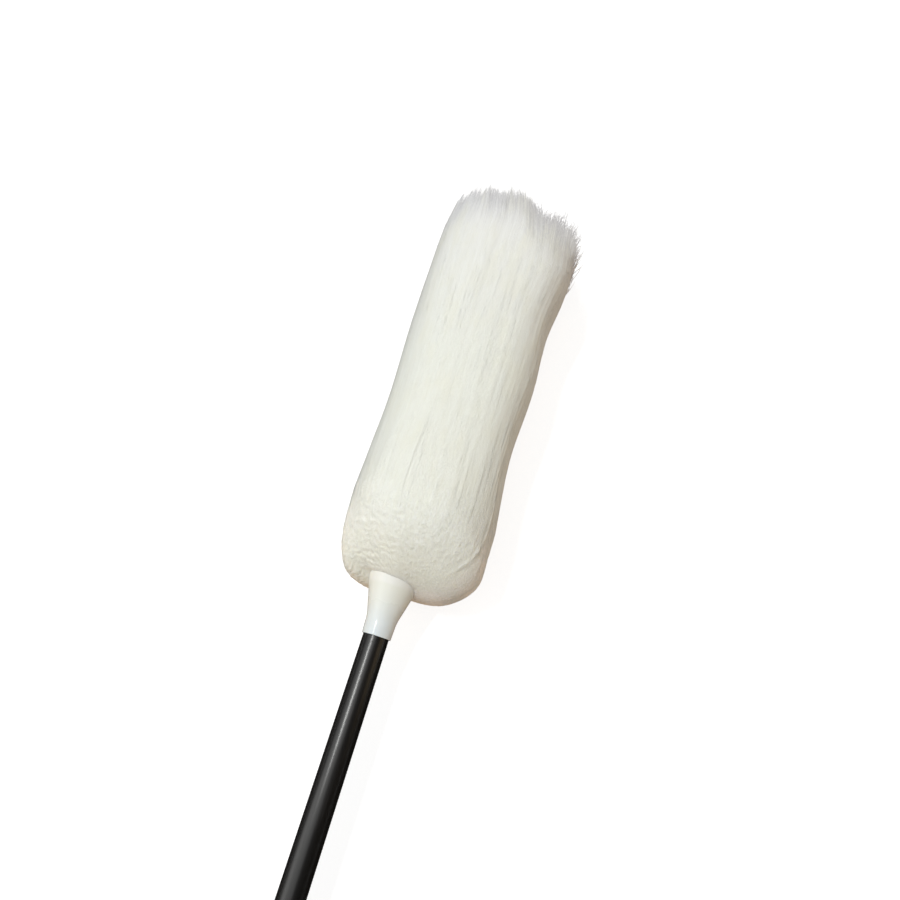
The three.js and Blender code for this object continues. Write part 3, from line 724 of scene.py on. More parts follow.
fringe_finish, tree = new_material("wool_fringe")
colour, along_head, own_shade = head_colour(tree)
# The curls are mixed a quarter to three quarters towards a grey, more for fibres with a higher number:
# painted shade of the dense fringe.
coat_with((0.25 + own_shade * 0.5).mix(colour, FRINGE_SHADE), DULL)

form_finish, tree = new_material("wool_under_fibres")
colour, along_head, turn = head_colour(tree)
rosy = turn.eased(0.4, 0.46) * turn.eased(0.54, 0.6, 1.0, 0.0) * along_head.eased(0.2, 0.4, 0.7, 0.0)
colour = rosy.mix(colour, ROSY_WOOL)
# Near the tip the form is mixed towards a cool grey: painted shade where it shows between the fibre ends,
# cool to offset the warm side lamp.
colour = along_head.eased(0.87, 0.93, 0.0, 0.9).mix(colour, SHADE_BETWEEN_ENDS)
where = tree.node("TexCoord", output="Object")
streak = (where * STREAK_CHANGES).noise(1.0, 4.0)
# Painted shade in the troughs of the crimps.
colour = (attribute(tree, "trough") * 0.22).mix(colour, WOOL_SHADE)
colour = streak.eased(0.35, 0.7, 0.16, 0.0).mix(colour, WOOL_SHADE)
felting = bump(streak + where.noise(FELT_CHANGES) * 0.9, 0.7, BUMP_DEPTH)
glow = {"Subsurface Weight": 0.6, "Subsurface Radius": (1, 1, 0.9), "Subsurface Scale": 0.003}
coat_with(colour, {**DULL, **glow, "Normal": felting})
form_mesh.materials.append(form_finish)
print(fringe_finish.name, "and", form_finish.name)

# %% [markdown]
# ## Wool: combed fibres
# The fibres root all over the pelt and lie along it towards the tip. Blender's hair tools could grow them
# and comb them by hand, but a Geometry Nodes tree with named sizes can run again for each coat and always
# gives the same wool. It scatters the roots, gives each a line of points, and moves those points: along
# the pole by the fibre's own length, round it by a slow sway that neighbours share, and onto the form by
# a ray cast from outside. Past the form's blunt end the fibres run on straight and gather in tufts, each
# cut where the real head was trimmed.

# %% Trees that make geometry
class GroupTree(Tree):
    """A Geometry Nodes tree with named inputs, and in `given` a wire from each of them."""

    def __init__(self, name, result, sizes):
        group = bpy.data.node_groups.new(name, "GeometryNodeTree")
        group.is_modifier = True
        for size, kind in sizes.items():
            group.interface.new_socket(size, in_out="INPUT", socket_type="NodeSocket" + kind)
        group.interface.new_socket(result, in_out="OUTPUT", socket_type="NodeSocketGeometry")
        super().__init__(group)
        self.given = dict(zip(sizes, self.node("NodeGroupInput").others(*sizes)))

    def random(self, low, high, shift):
        sockets = {2: low, 3: high, "Seed": self.given["Seed"] + shift}
        return self.node("RandomValue", sockets, 1, data_type="FLOAT")

    def kept(self, name, kind="FLOAT"):
        """A value that the geometry carries."""
        return self.node("InputNamedAttribute", {"Name": name}, data_type=kind)

    def keep(self, geometry, name, value, kind="FLOAT", domain="POINT"):
        """The geometry, carrying one more value."""
        sockets = {0: geometry, "Name": name, "Value": value}
        return self.node("StoreNamedAttribute", sockets, data_type=kind, domain=domain)

    def vector(self, x, y, z):
        return self.node("CombineXYZ", {0: x, 1: y, 2: z})

    def close(self, geometry):
        """Makes what the tree has built real, gives it its finish and sends it out."""
        geometry = self.node("RealizeInstances", {"Geometry": geometry})
        geometry = self.node("SetMaterial", {"Geometry": geometry, "Material": self.given["Finish"]})
        self.node("NodeGroupOutput", {0: geometry})
        return self.tree


FIBRE_SIZES = (
    "Density", "From", "To", "Fade", "Shortest", "Longest", "Thickness", "Loft", "Sway", "Crimp",
    "Crimp Length", "Tuft", "Ragged", "Gather", "Parting", "Fray", "Only Frayed",
)
sizes = {"Fleece": "Geometry", "Finish": "Material", "Seed": "Int", "Points": "Int"}
fibres = GroupTree("combed_fibres", "Fibres", {**sizes, **dict.fromkeys(FIBRE_SIZES, "Float")})
print("tree of fibres with", len(fibres.given), "named inputs")

# %% Where each fibre roots
RAY = 0.15  # from outside the wool to the middle of its section
LEAVES_FORM = 34  # how far before the trimmed end a fibre stops following the form
STUB = 0.006  # shortest that a trimmed fibre gets


def onto_form(tree, along, angle):
    """Middle of the section, where a ray towards it meets the form, the form's direction there, the ray's."""
    middle = along * ALONG + (MOUTH + SIDE * MM * SECTION_SIDE + RISE * MM * SECTION_RISE)
    out = angle.maths("COSINE") * SIDE + angle.maths("SINE") * RISE
    sockets = {
        "Target Geometry": tree.given["Fleece"], "Source Position": middle + out * RAY,
        "Ray Direction": out * -1, "Ray Length": RAY,
    }
    hit = tree.node("Raycast", sockets, output="Hit Position")
    return middle, hit, hit.others("Hit Normal")[0], out


def scatter_roots(tree):
    """Points on the form that carry how deep each fibre lies, how long it is and which tuft it joins."""
    given, kept, random = tree.given, tree.kept, tree.random
    root = tree.node("InputPosition") - MOUTH
    root_along = root.dot(ALONG)
    inside = root_along.eased(given["From"] - given["Fade"], given["From"] + given["Fade"])
    inside = inside * root_along.maths("LESS_THAN", given["To"])
    chosen = 1 - given["Only Frayed"] * (1 - kept("fray") ** 2.0)
    sockets = {"Mesh": given["Fleece"], "Density": given["Density"] * inside * chosen, "Seed": given["Seed"]}
    points = tree.node("DistributePointsOnFaces", sockets)

    side = root.dot(SIDE) - MM * SECTION_SIDE
    rise = root.dot(RISE) - MM * SECTION_RISE
    hold = kept("trim") - MM * LEAVES_FORM
    middle, hit, _, _ = onto_form(tree, root_along.maths("MINIMUM", hold), rise.maths("ARCTAN2", side))
    reach = hit.number("DISTANCE", middle)
    depth = (side * side + rise * rise) ** 0.5 / reach
    across = tree.vector(side, rise, 0) / given["Tuft"]
    sockets = {"Vector": across, "Scale": 1.0}
    tuft = tree.node("TexVoronoi", sockets, "Position", voronoi_dimensions="2D")
    tuft_number = tree.node("TexWhiteNoise", {"Vector": tuft}, "Value", noise_dimensions="3D")
    tuft_side = (tuft * given["Tuft"]).part("X")
    from_middle = tuft.number("DISTANCE", across)
    end = kept("trim") + (tuft_number - 0.75) * given["Ragged"] + random(-0.007, 0.003, 1)
    end = end - from_middle * given["Tuft"] * 1.6
    # Fibres at the edges of tufts on the outer, upper side get a lower number, which their finish paints
    # darker: painted shade in the partings.
    outer_and_upper = depth.eased(0.7, 0.95) * rise.eased(-0.02, 0.01)
    parting = from_middle.eased(0.2, 0.6) * given["Parting"] * outer_and_upper
    length = random(given["Shortest"], given["Longest"], 2).maths("MINIMUM", end - root_along)
    about_root = {
        "length": length.maths("MAXIMUM", STUB), "root_along": root_along, "root_side": side,
        "root_rise": rise, "reach": reach, "depth": depth.maths("MINIMUM", 1.0),
        "shade": random(0.0, 1.0, 3) * (1 - parting), "layer": random(0.1, 1.0, 4),
        "bend": random(-1.0, 1.0, 5), "tuft_side": tuft_side, "tuft_rise": tuft_side.others("Y")[0],
    }
    for name, value in about_root.items():
        points = tree.keep(points, name, value)
    return points


roots = scatter_roots(fibres)
print("roots:", len(fibres.tree.nodes), "nodes")

# %% How each fibre lies
LOCK_CHANGES = (16, 130)  # how often the sway changes in a metre along the pole and across it
OVER_FLOOR = 0.0003


def comb(tree, points):
    """A line from each root, laid along the form and on past its end."""
    given, kept = tree.given, tree.kept
    line = tree.node("CurvePrimitiveLine", {"End": (0, 0, 0.01)})
    sockets = {"Curve": line, "Count": given["Points"]}
    line = tree.node("ResampleCurve", sockets, mode="COUNT")
    lines = tree.node("InstanceOnPoints", {"Points": points, "Instance": line})
    lines = tree.node("RealizeInstances", {"Geometry": lines})

    share = tree.node("SplineParameter", output="Factor")
    along = kept("root_along") + kept("length") * share
    by_length, by_width = LOCK_CHANGES
    in_locks = tree.vector(along * by_length, kept("root_side") * by_width, kept("root_rise") * by_width)
    sway = in_locks.noise(1.0, 1.0) - 0.5
    wander = given["Sway"] * (sway * 2 + kept("bend") * share * share * 0.5)
    angle = kept("root_rise").maths("ARCTAN2", kept("root_side"))
    angle = angle + wander * (share * 4).maths("MINIMUM", 1.0) / kept("reach")
    held = along.maths("MINIMUM", kept("trim") - MM * LEAVES_FORM)
    middle, hit, normal, out = onto_form(tree, held, angle)
    past = along - held
    wave = along / given["Crimp Length"] * (2 * math.pi) + kept("bend") * 1.2 + sway * 9
    crimp = wave.maths("SINE") * given["Crimp"]
    lift = kept("layer") * given["Loft"] * share.eased(0.0, 0.3, -0.4, 1.0)
    lift = lift + kept("layer") ** 2.0 * kept("fray") * given["Fray"] * share
    round_pole = tree.maths("CROSS_PRODUCT", ALONG, out)
    lean = kept("root_side").eased(-0.05, -0.015) * kept("root_side").eased(0.01, 0.045, 0.2, 0.0)
    spot = middle + (hit - middle) * kept("depth") * (1 - past * 1.5) + past * ALONG + past * lean * SIDE
    spot = spot + normal * lift + round_pole * crimp
    to_tuft = (kept("tuft_side") - kept("root_side")) * SIDE + (kept("tuft_rise") - kept("root_rise")) * RISE
    gather = given["Gather"] * kept("depth").eased(0.6, 0.95, 0.3, 1.0)
    spot = spot + to_tuft * (gather * past.eased(0.0, MM * LEAVES_FORM))
    spot = spot + (OVER_FLOOR - spot.part("Z")).maths("MAXIMUM", 0.0) * Vector((0, 0, 1))
    lines = tree.node("SetPosition", {"Geometry": lines, "Position": spot})
    lines = tree.keep(lines, "head_share", along / (MM * HEAD_LENGTH))
    lines = tree.keep(lines, "loose", past.eased(0.0, 0.03))
    lines = tree.keep(lines, "near_end", (along - kept("trim")).eased(-0.06, -0.004))
    return tree.keep(lines, "skin", normal, "FLOAT_VECTOR")


lines = comb(fibres, roots)
print("roots and lines:", len(fibres.tree.nodes), "nodes")

# %% Thickness, map and soft shading of the fibres
END_SHADING = ALONG * 0.5 + RISE * 0.7  # loose ends are shaded as one soft surface that faces this way


def thicken(tree, lines):
    given, kept = tree.given, tree.kept
    share = tree.node("SplineParameter", output="Factor")
    profile = tree.node("CurvePrimitiveCircle", {"Resolution": 3, "Radius": 0.5})
    taper = given["Thickness"] * (1 - share**3 * 0.85) * share.eased(0.0, 0.15, 0.5, 1.0)
    sockets = {"Curve": lines, "Profile Curve": profile, "Scale": taper, "Fill Caps": True}
    strands = tree.node("CurveToMesh", sockets)
    own_map = tree.vector(kept("head_share"), kept("shade"), 0)
    strands = tree.keep(strands, FIBRE_MAP, own_map, "FLOAT2", "CORNER")
    loose = kept("loose") * 0.8
    skin = kept("skin", "FLOAT_VECTOR") * (1 - loose) + loose * END_SHADING
    soft = (skin * 0.92 + tree.node("InputNormal") * 0.08).maths("NORMALIZE")
    return tree.node("SetMeshNormal", {"Mesh": strands, "Custom Normal": soft}, mode="FREE")


fibres_tree = fibres.close(thicken(fibres, lines))
print("whole tree of fibres:", len(fibres_tree.nodes), "nodes")

# %% [markdown]
# ## Wool: coats of fibres
# All the fibres in one piece would be too many, so the same tree runs again and again with other seeds
# and sizes: six coats of long fibres, looser locks, three layers of tip, very short fibres for the felted
# base, crimped ones for the frayed corner, and a few strays. Light goes through loose wool, so only two
# layers cast shadows.

# %% Comb the fibres over the form
COAT = {
    "Finish": fibre_finish, "Points": 7, "Density": 34000.0, "From": 0.085, "To": 0.43, "Fade": 0.045,
    "Shortest": 0.05, "Longest": 0.11, "Thickness": 0.0003, "Loft": 0.0005, "Sway": 0.003, "Crimp": 0.0,
    "Crimp Length": 0.01, "Tuft": 0.004, "Ragged": 0.012, "Gather": 0.6, "Parting": 0.5, "Fray": 0.003,
    "Only Frayed": 0.0,
}
LOCKS = {**COAT, "Density": 9000.0}
TIP = {
    **COAT, "Points": 10, "Density": 120000.0, "From": 0.36, "Fade": 0.02, "Shortest": 0.03, "Longest": 0.055,
    "Thickness": 0.00024, "Loft": 0.0014, "Sway": 0.004, "Crimp": 0.0007, "Crimp Length": 0.015,
    "Tuft": 0.0075, "Ragged": 0.016, "Gather": 0.7, "Parting": 1.0, "Fray": 0.005,
}
BASE = {
    **COAT, "Points": 5, "Density": 120000.0, "From": 0.03, "To": 0.115, "Fade": 0.02, "Shortest": 0.004,
    "Longest": 0.009, "Thickness": 0.0002, "Loft": 0.0002, "Sway": 0.0015,
}
CURLS = {
    **COAT, "Finish": fringe_finish, "Points": 16, "Density": 230000.0, "From": 0.3, "Fade": 0.02,
    "Shortest": 0.014, "Longest": 0.03, "Thickness": 0.00055, "Loft": 0.001, "Sway": 0.009, "Crimp": 0.0026,
    "Crimp Length": 0.014, "Fray": 0.016, "Only Frayed": 1.0,
}
STRAYS = {
    **COAT, "Points": 18, "Density": 320.0, "From": 0.1, "To": 0.39, "Fade": 0.02, "Shortest": 0.04,
    "Longest": 0.09, "Thickness": 0.00034, "Loft": 0.0012, "Sway": 0.012, "Crimp": 0.0006,
    "Crimp Length": 0.03,
}
WOOL = (
    *(("coat_%d" % seed, COAT, seed) for seed in range(1, 7)), ("locks", LOCKS, 9), ("tip_1", TIP, 11),
    ("tip_2", TIP, 12), ("tip_3", TIP, 13), ("base", BASE, 14), ("curls", CURLS, 16), ("strays", STRAYS, 18),
)
CAST_SHADOWS = ("locks", "tip_1")


def grow(name, group, host, values):
    """Runs a tree on a copy of a piece and keeps the result as a plain mesh."""
    worker = host.copy()
    scene.collection.objects.link(worker)
    modifier = worker.modifiers.new(name, "NODES")
    modifier.node_group = group
    sockets = {item.name: item.identifier for item in group.interface.items_tree if item.in_out == "INPUT"}
    for socket, value in values.items():
        modifier[sockets[socket]] = value
    depsgraph = bpy.context.evaluated_depsgraph_get()
    settings = {"preserve_all_data_layers": True, "depsgraph": depsgraph}
    mesh = bpy.data.meshes.new_from_object(worker.evaluated_get(depsgraph), **settings)
    bpy.data.objects.remove(worker)
    mesh.name = name
    mesh.calc_loop_triangles()
    print(name, len(mesh.loop_triangles), "triangles")
    return add_object(name, mesh)


wool_pieces = []
for name, values, seed in WOOL:
    wool_pieces.append(grow("fleece_" + name, fibres_tree, fleece_form, {**values, "Seed": seed}))
    wool_pieces[-1].visible_shadow = name in CAST_SHADOWS

# %% [markdown]
# ## Finishes of the pole
# The pole has tubes with a satin black coating, black mouldings, a soft rubber grip and a white ferrule.
# None is one even colour: a tube shows the lines it was drawn in and the marks of sliding, a moulding has
# a fine grain. Pictures could be wrapped round the pieces, but noise that is worked out from the place on
# the pole has no seam and stays sharp close up. Each finish reads the pole's own axes, so its grain runs
# along the pole.


# %% Finishes with a grain along the pole
def pole_finish(paint):
    """A material from a function that turns a place on the pole, in metres from the ferrule's mouth, into
    colour, roughness, height and depth of a bump, and further sockets."""
    material, tree = new_material(paint.__name__)
    offset = tree.node("TexCoord", output="Object") - MOUTH
    places = {i: offset.dot(axis) for i, axis in enumerate((ALONG, SIDE, RISE))}
    colour, roughness, height, depth, more = paint(tree.node("CombineXYZ", places))
    coat_with(colour, {"Roughness": roughness, "Normal": bump(height, 1.0, depth), **more})
    print("finish:", material.name)
    return material


def grain(where, along, across, detail=3.0):
    """Noise from 0 to 1 with so many changes in a metre along the pole and across it."""
    return (where * Vector((along, across, across))).noise(1.0, detail)


def cells(where, scale):
    return where.tree.node("TexVoronoi", {"Vector": where, "Scale": scale})


@pole_finish
def satin_black_coating(where):
    drawn = grain(where, 5, 800)
    rubbed = grain(where, 18, 300).eased(0.56, 0.74)
    speckle = grain(where, 1600, 1600, 1.0)
    colour = drawn.mix((0.0035, 0.0033, 0.0032), (0.007, 0.0066, 0.0063))
    colour = (rubbed * 0.3).mix(colour, (0.03, 0.0285, 0.027))
    more = {"Specular IOR Level": 0.3, "Coat Weight": 0.75, "Coat Roughness": 0.25}
    roughness = 0.4 + drawn * 0.1 + rubbed * 0.05
    return colour, roughness, speckle + drawn * 0.6, 0.000003, more


@pole_finish
def black_moulding(where):
    fine = grain(where, 2600, 2600, 2.0)
    cloud = grain(where, 90, 90)
    scuff = grain(where, 420, 420, 5.0).eased(0.62, 0.72)
    colour = cloud.mix((0.011, 0.011, 0.0112), (0.021, 0.0208, 0.0206))
    colour = (scuff * 0.25).mix(colour, (0.06, 0.06, 0.06))
    return colour, 0.42 + cloud * 0.12 + scuff * 0.1, fine, 0.00004, {}


@pole_finish
def soft_grip_rubber(where):
    dust = grain(where, 240, 240, 5.0).eased(0.5, 0.8)
    colour = (dust * 0.5).mix((0.017, 0.017, 0.018), (0.045, 0.044, 0.043))
    texture = cells(where, 1500.0) + grain(where, 600, 600) * 0.5
    return colour, 0.72 + dust * 0.15, texture, 0.00008, {}


@pole_finish
def white_moulding(where):
    """Glossy at the neck and duller towards the wool. The colour runs from a cool white at the neck, which is
    a painted reflection, to a warmer white, with a paler lip that is a painted highlight.
    """
    up = where.part("X")
    warmth = up.eased(0.0, 0.034)
    cloud = grain(where, 120, 120)
    # The cool white at the neck is a painted reflection.
    colour = warmth.mix((0.8, 0.865, 0.885), (0.89, 0.9, 0.815))
    colour = (cloud * 0.12).mix(colour, (0.7, 0.69, 0.64))
    # The paler band at the lip is a painted highlight, where the rolled rim catches the light.
    colour = (up.eased(0.0345, 0.0375) * 0.6).mix(colour, (0.95, 0.95, 0.9))
    texture = grain(where, 30, 240) + grain(where, 1500, 1500, 1.0) * 0.4
    more = {"Subsurface Weight": 0.25, "Subsurface Radius": (1, 0.9, 0.75), "Subsurface Scale": 0.002}
    return colour, 0.13 + warmth * 0.14 + cloud * 0.08, texture, 0.000008, more


@pole_finish
def uncoloured_moulding(where):
    cloud = grain(where, 80, 80)
    colour = cloud.mix((0.62, 0.6, 0.52), (0.72, 0.71, 0.65))
    return colour, 0.42 + cloud * 0.15, grain(where, 1200, 1200), 0.00002, {}


@pole_finish
def zinc_plated_steel(where):
    scratch = grain(where, 300, 2400)
    colour = cells(where, 700.0).mix((0.42, 0.43, 0.45), (0.52, 0.53, 0.53))
    return colour, 0.26 + scratch * 0.18, scratch, 0.00001, {"Metallic": 1.0}


@pole_finish
def bare_timber(where):
    fibre = grain(where, 20, 900, 5.0)
    band = grain(where, 6, 160).eased(0.4, 0.65)
    colour = band.mix((0.6, 0.42, 0.22), (0.46, 0.29, 0.13))
    colour = (fibre * 0.4).mix(colour, (0.7, 0.52, 0.3))
    return colour, 0.6 + fibre * 0.2, fibre, 0.00006, {}


@pole_finish
def tanned_hide(where):
    cloud = grain(where, 120, 120)
    colour = cloud.mix((0.62, 0.49, 0.31), (0.74, 0.62, 0.43))
    return colour, 0.75 + cloud * 0.15, cells(where, 900.0), 0.0001, {}

# %% [markdown]
# ## Turned pieces
# Tubes, ferrule, collar, nut and grip are round about the pole. A Screw modifier and a Bevel could make
# them, but a bevel has one width, and each corner here needs its own. So the corners of a closed outline
# carry how far they are rounded, because even a sharp-looking edge on a real moulding catches a line of
# light, and the outline is turned. The sizes come from the CAD nodes that the pieces stand for.

# %% Turning an outline about the pole
TURNED_SIDES = 96
SMOOTH_UNDER = math.radians(35)


def rounded(corners, steps=5):
    """A closed outline of (along, radius) points from corners of (along, radius, rounding)."""
    outline = []
    for i, (along, radius, rounding) in enumerate(corners):
        corner = np.array((along, radius))
        before = np.array(corners[i - 1][:2]) - corner
        after = np.array(corners[(i + 1) % len(corners)][:2]) - corner
        start = corner + before * rounding / np.linalg.norm(before)
        end = corner + after * rounding / np.linalg.norm(after)
        for t in np.linspace(0, 1, steps if rounding else 1):
            outline.append((1 - t) ** 2 * start + 2 * t * (1 - t) * corner + t**2 * end)
    return np.array(outline)


def closed_shell(name, rows, finish):
    """A closed skin over rows of points that join up both ways."""
    shell = bmesh.new()
    rows = [[shell.verts.new(point) for point in row] for row in rows]
    for row, after in zip(rows, rows[1:] + rows[:1]):
        for j, vertex in enumerate(row):
            shell.faces.new((row[j - 1], vertex, after[j], after[j - 1]))
    bmesh.ops.remove_doubles(shell, verts=shell.verts, dist=1e-7)
    bmesh.ops.delete(shell, geom=[edge for edge in shell.edges if not edge.link_faces], context="EDGES")
    bmesh.ops.recalc_face_normals(shell, faces=shell.faces)
    mesh = bpy.data.meshes.new(name)
    shell.to_mesh(mesh)
    shell.free()
    mesh.shade_smooth()
    mesh.set_sharp_from_angle(angle=SMOOTH_UNDER)
    mesh.materials.append(finish)
    print(name, len(mesh.polygons), "faces")
    return add_object(name, mesh)


def turned(name, outline, finish, sides=TURNED_SIDES):
    along, radius, turn = outline[:, :1], outline[:, 1:], turns(sides)
    return closed_shell(name, place(along, radius * np.cos(turn), radius * np.sin(turn)), finish)


print("ready to turn")

# %% [markdown]
# ## The two tubes and the ferrule
# The tubes are drawn steel with square-cut ends, only deburred. The ferrule is moulded: a straight neck,
# a short curve, a cone, and a rolled lip round the cup that the wool comes out of. Its outside could be
# drawn point by point, but a formula keeps the cone straight, and the same formula has already shaped the
# wool that is folded back over it.

# %% Tubes and ferrule
DEBURRED = 0.15
FERRULE_WALL = 1.6
LIP_ROUND = FERRULE_WALL / 2
CUP_FLOOR = 16.6
SKIN_STEPS = 40


def tube(name):
    low, high, bore, skin = span(name)
    corners = [(low, bore, DEBURRED), (low, skin, DEBURRED), (high, skin, DEBURRED), (high, bore, DEBURRED)]
    return turned(name + "_drawn", rounded(corners, 3), satin_black_coating)


inner_tube = tube("inner_tube")
outer_tube = tube("outer_tube")

lip_low = RIM - FERRULE_LIP
cup_radius = RIM_RADIUS - FERRULE_WALL
outside = [(along, ferrule_skin(along), 0) for along in np.linspace(0.6, lip_low, SKIN_STEPS)]
corners = [
    (0, NECK_BORE, 0.2), (0, ferrule_skin(0), 0.4), *outside, (RIM, RIM_RADIUS, LIP_ROUND),
    (RIM, cup_radius, LIP_ROUND), (lip_low, cup_radius, 0.5),
    (CUP_FLOOR, ferrule_skin(CUP_FLOOR) - FERRULE_WALL, 0.5), (CUP_FLOOR, NECK_BORE, 0.2),
]
ferrule = turned("ferrule_moulded", rounded(corners), white_moulding)

# %% [markdown]
# ## The twist lock and the grip
# The collar is a skirt riveted to the outer tube, with a flange under the nut. The nut has twenty grooves
# for the fingers. Twenty Boolean cuts could make them, but a tree that moves points leaves a cleaner
# skin. A real cutter leaves the same groove all along and runs out on the sloping shoulder, so the tree
# moves a point in only where it stands outside the cutter. The grip's waves are part of its outline.

# %% Collar and grip
SKIRT = 14.6
SKIRT_BORE = 12.8
SLIDE_BORE = 9.9
FLANGE_UP = 16
FLANGE_THICKNESS = 4
THREAD = 15.0
CONE_LENGTH = 10
CONE_WIDE = 13.2
LAND_LENGTH = 8
low, high, _, flange = span("thread_body")
flange_low = low + FLANGE_UP
flange_high = flange_low + FLANGE_THICKNESS
cone_low = high - CONE_LENGTH
land_low = cone_low - LAND_LENGTH
corners = [
    (low, SKIRT_BORE, 0.2), (low, SKIRT, 0.5), (flange_low, SKIRT, 0.5), (flange_low, flange, 0.5),
    (flange_high, flange, 0.5), (flange_high, THREAD, 0.2), (high, THREAD, 0.4), (high, CONE_WIDE, 0.2),
    (cone_low, SLIDE_BORE, 0), (land_low, SLIDE_BORE, 0), (land_low, SKIRT_BORE, 0),
]
collar = turned("collar_moulded", rounded(corners), black_moulding)

GRIP_WAVES = 8
WAVE_STEPS = 12
WAVE_DEPTH = 1.3
PLAIN_BAND = 8
GRIP_TAPER = 2.0
low, high, bore, grip_radius = span("grip_sleeve")
corners = [(low, bore, 0.3), (low, grip_radius, 0.6)]
for share in np.linspace(0, 1, GRIP_WAVES * WAVE_STEPS + 1):
    along = low + PLAIN_BAND + share * (high - low - 2 * PLAIN_BAND)
    skin = grip_radius - GRIP_TAPER * (along - low) / (high - low)
    corners.append((along, skin - WAVE_DEPTH * math.sin(math.pi * share * GRIP_WAVES) ** 2, 0))
corners += [(high, grip_radius - GRIP_TAPER, 1.2), (high, bore, 0.3)]
grip = turned("grip_moulded", rounded(corners), soft_grip_rubber)

# %% Nut with grooves
NUT_GROOVES = 20
GROOVE_STEPS = 16
GROOVE_DEPTH = 1.1
NUT_SHOULDER = 6
NUT_TOP = 12.5
NUT_ROOF = 11
NUT_BORE = 15.3
RING_BORE = 13.5
RING_LENGTH = 4.2


def grooves_tree():
    sizes = {"Piece": "Geometry", "Finish": "Material", "Grooves": "Int", "Depth": "Float", "Skin": "Float"}
    tree = GroupTree("grooves_round", "Grooved", sizes)
    given = tree.given
    offset = tree.node("InputPosition") - MOUTH
    side, rise = offset.dot(SIDE), offset.dot(RISE)
    radius = (side * side + rise * rise) ** 0.5
    wave = (rise.maths("ARCTAN2", side) * given["Grooves"]).maths("COSINE")
    cutter = given["Skin"] - given["Depth"] * wave.eased(-0.1, 0.9)
    outside = radius.maths("GREATER_THAN", given["Skin"] - given["Depth"] * 1.6)
    share = 1 + outside * ((cutter / radius).maths("MINIMUM", 1.0) - 1)
    spot = offset.dot(ALONG) * ALONG + MOUTH + (side * share) * SIDE + (rise * share) * RISE
    shaped = tree.node("SetPosition", {"Geometry": given["Piece"], "Position": spot})
    return tree.close(shaped)


low, high, _, skin = span("lock_nut")
roof = high - NUT_ROOF
ring_low = roof - RING_LENGTH
shoulder = high - NUT_SHOULDER
slope = (skin - NUT_TOP) / NUT_SHOULDER
slope_rows = [(shoulder + step, skin - slope * step, 0) for step in (0.5, 0.9, 1.3, 2.0)]
corners = [
    (low, NUT_BORE, 0.3), (low, skin, 1.0), (low + 3, skin, 0), (shoulder, skin, 0.4), *slope_rows,
    (high, NUT_TOP, 0.7), (high, SLIDE_BORE, 0.4), (roof, SLIDE_BORE, 0), (roof, RING_BORE, 0),
    (ring_low, RING_BORE, 0), (ring_low, NUT_BORE, 0),
]
blank = turned("nut_blank", rounded(corners), black_moulding, NUT_GROOVES * GROOVE_STEPS)
sizes = {"Finish": black_moulding, "Grooves": NUT_GROOVES, "Depth": GROOVE_DEPTH * MM, "Skin": skin * MM}
nut = grow("lock_nut_grooved", grooves_tree(), blank, sizes)
nut.data.set_sharp_from_angle(angle=SMOOTH_UNDER)
bpy.data.objects.remove(blank)

# %% [markdown]
# ## Rivets
# Two rivets hold the collar on the tube. Each could be modelled in its place, but copies of one head are
# sure to be alike. So a domed head is made at the origin, and a tree sets a copy on each side of the
# skirt, turned to face outwards.

# %% Rivets
RIVET_HEAD = 2.8
RIVET_HEIGHT = 1.2
RIVET_TOP = 1.4
RIVET_SIDES = 32


def rivets_tree():
    sizes = {"Head": "Geometry", "Finish": "Material", "Count": "Int", "Along": "Float", "Radius": "Float"}
    tree = GroupTree("rivets_round", "Rivets", sizes)
    given = tree.given
    turn = tree.node("InputIndex") * (2 * math.pi) / given["Count"]
    out = turn.maths("COSINE") * SIDE + turn.maths("SINE") * RISE
    spot = given["Along"] * ALONG + MOUTH + given["Radius"] * out
    points = tree.node("Points", {"Count": given["Count"], "Position": spot})
    facing = tree.node("AlignRotationToVector", {"Vector": out}, axis="Z")
    sockets = {"Points": points, "Instance": given["Head"], "Rotation": facing}
    return tree.close(tree.node("InstanceOnPoints", sockets))


low, high, _, rivet_top = span("body_rivet_left")
dome = rounded([
    (0, 0, 0), (0, RIVET_HEAD, 0.1), (RIVET_HEIGHT * 0.5, RIVET_HEAD, 0.4), (RIVET_HEIGHT, RIVET_TOP, 0.8),
    (RIVET_HEIGHT, 0, 0),
])
height, radius, turn = dome[:, :1], dome[:, 1:], turns(RIVET_SIDES)
dome_rows = np.stack(np.broadcast_arrays(radius * np.cos(turn), radius * np.sin(turn), height), -1)
head = closed_shell("rivet_head", MM * dome_rows, zinc_plated_steel)
sizes = {"Along": float(np.mean((low, high))) * MM, "Radius": (rivet_top - RIVET_HEIGHT) * MM}
rivets = grow("collar_rivets", rivets_tree(), head, {"Finish": zinc_plated_steel, "Count": 2, **sizes})
rivets.data.set_sharp_from_angle(angle=SMOOTH_UNDER)
bpy.data.objects.remove(head)

# %% [markdown]
# ## The hang cap
# The cap closes the butt: a turned flange with a plug in the tube, joined to a flat tab with a hole. The
# tab could be a block with a hole cut through it. But its outline is a half circle round the hole and
# square at the flange, so rows of points round the hole, each at its own distance, give clean rounded
# edges at once. A Boolean then makes one piece of flange and tab.

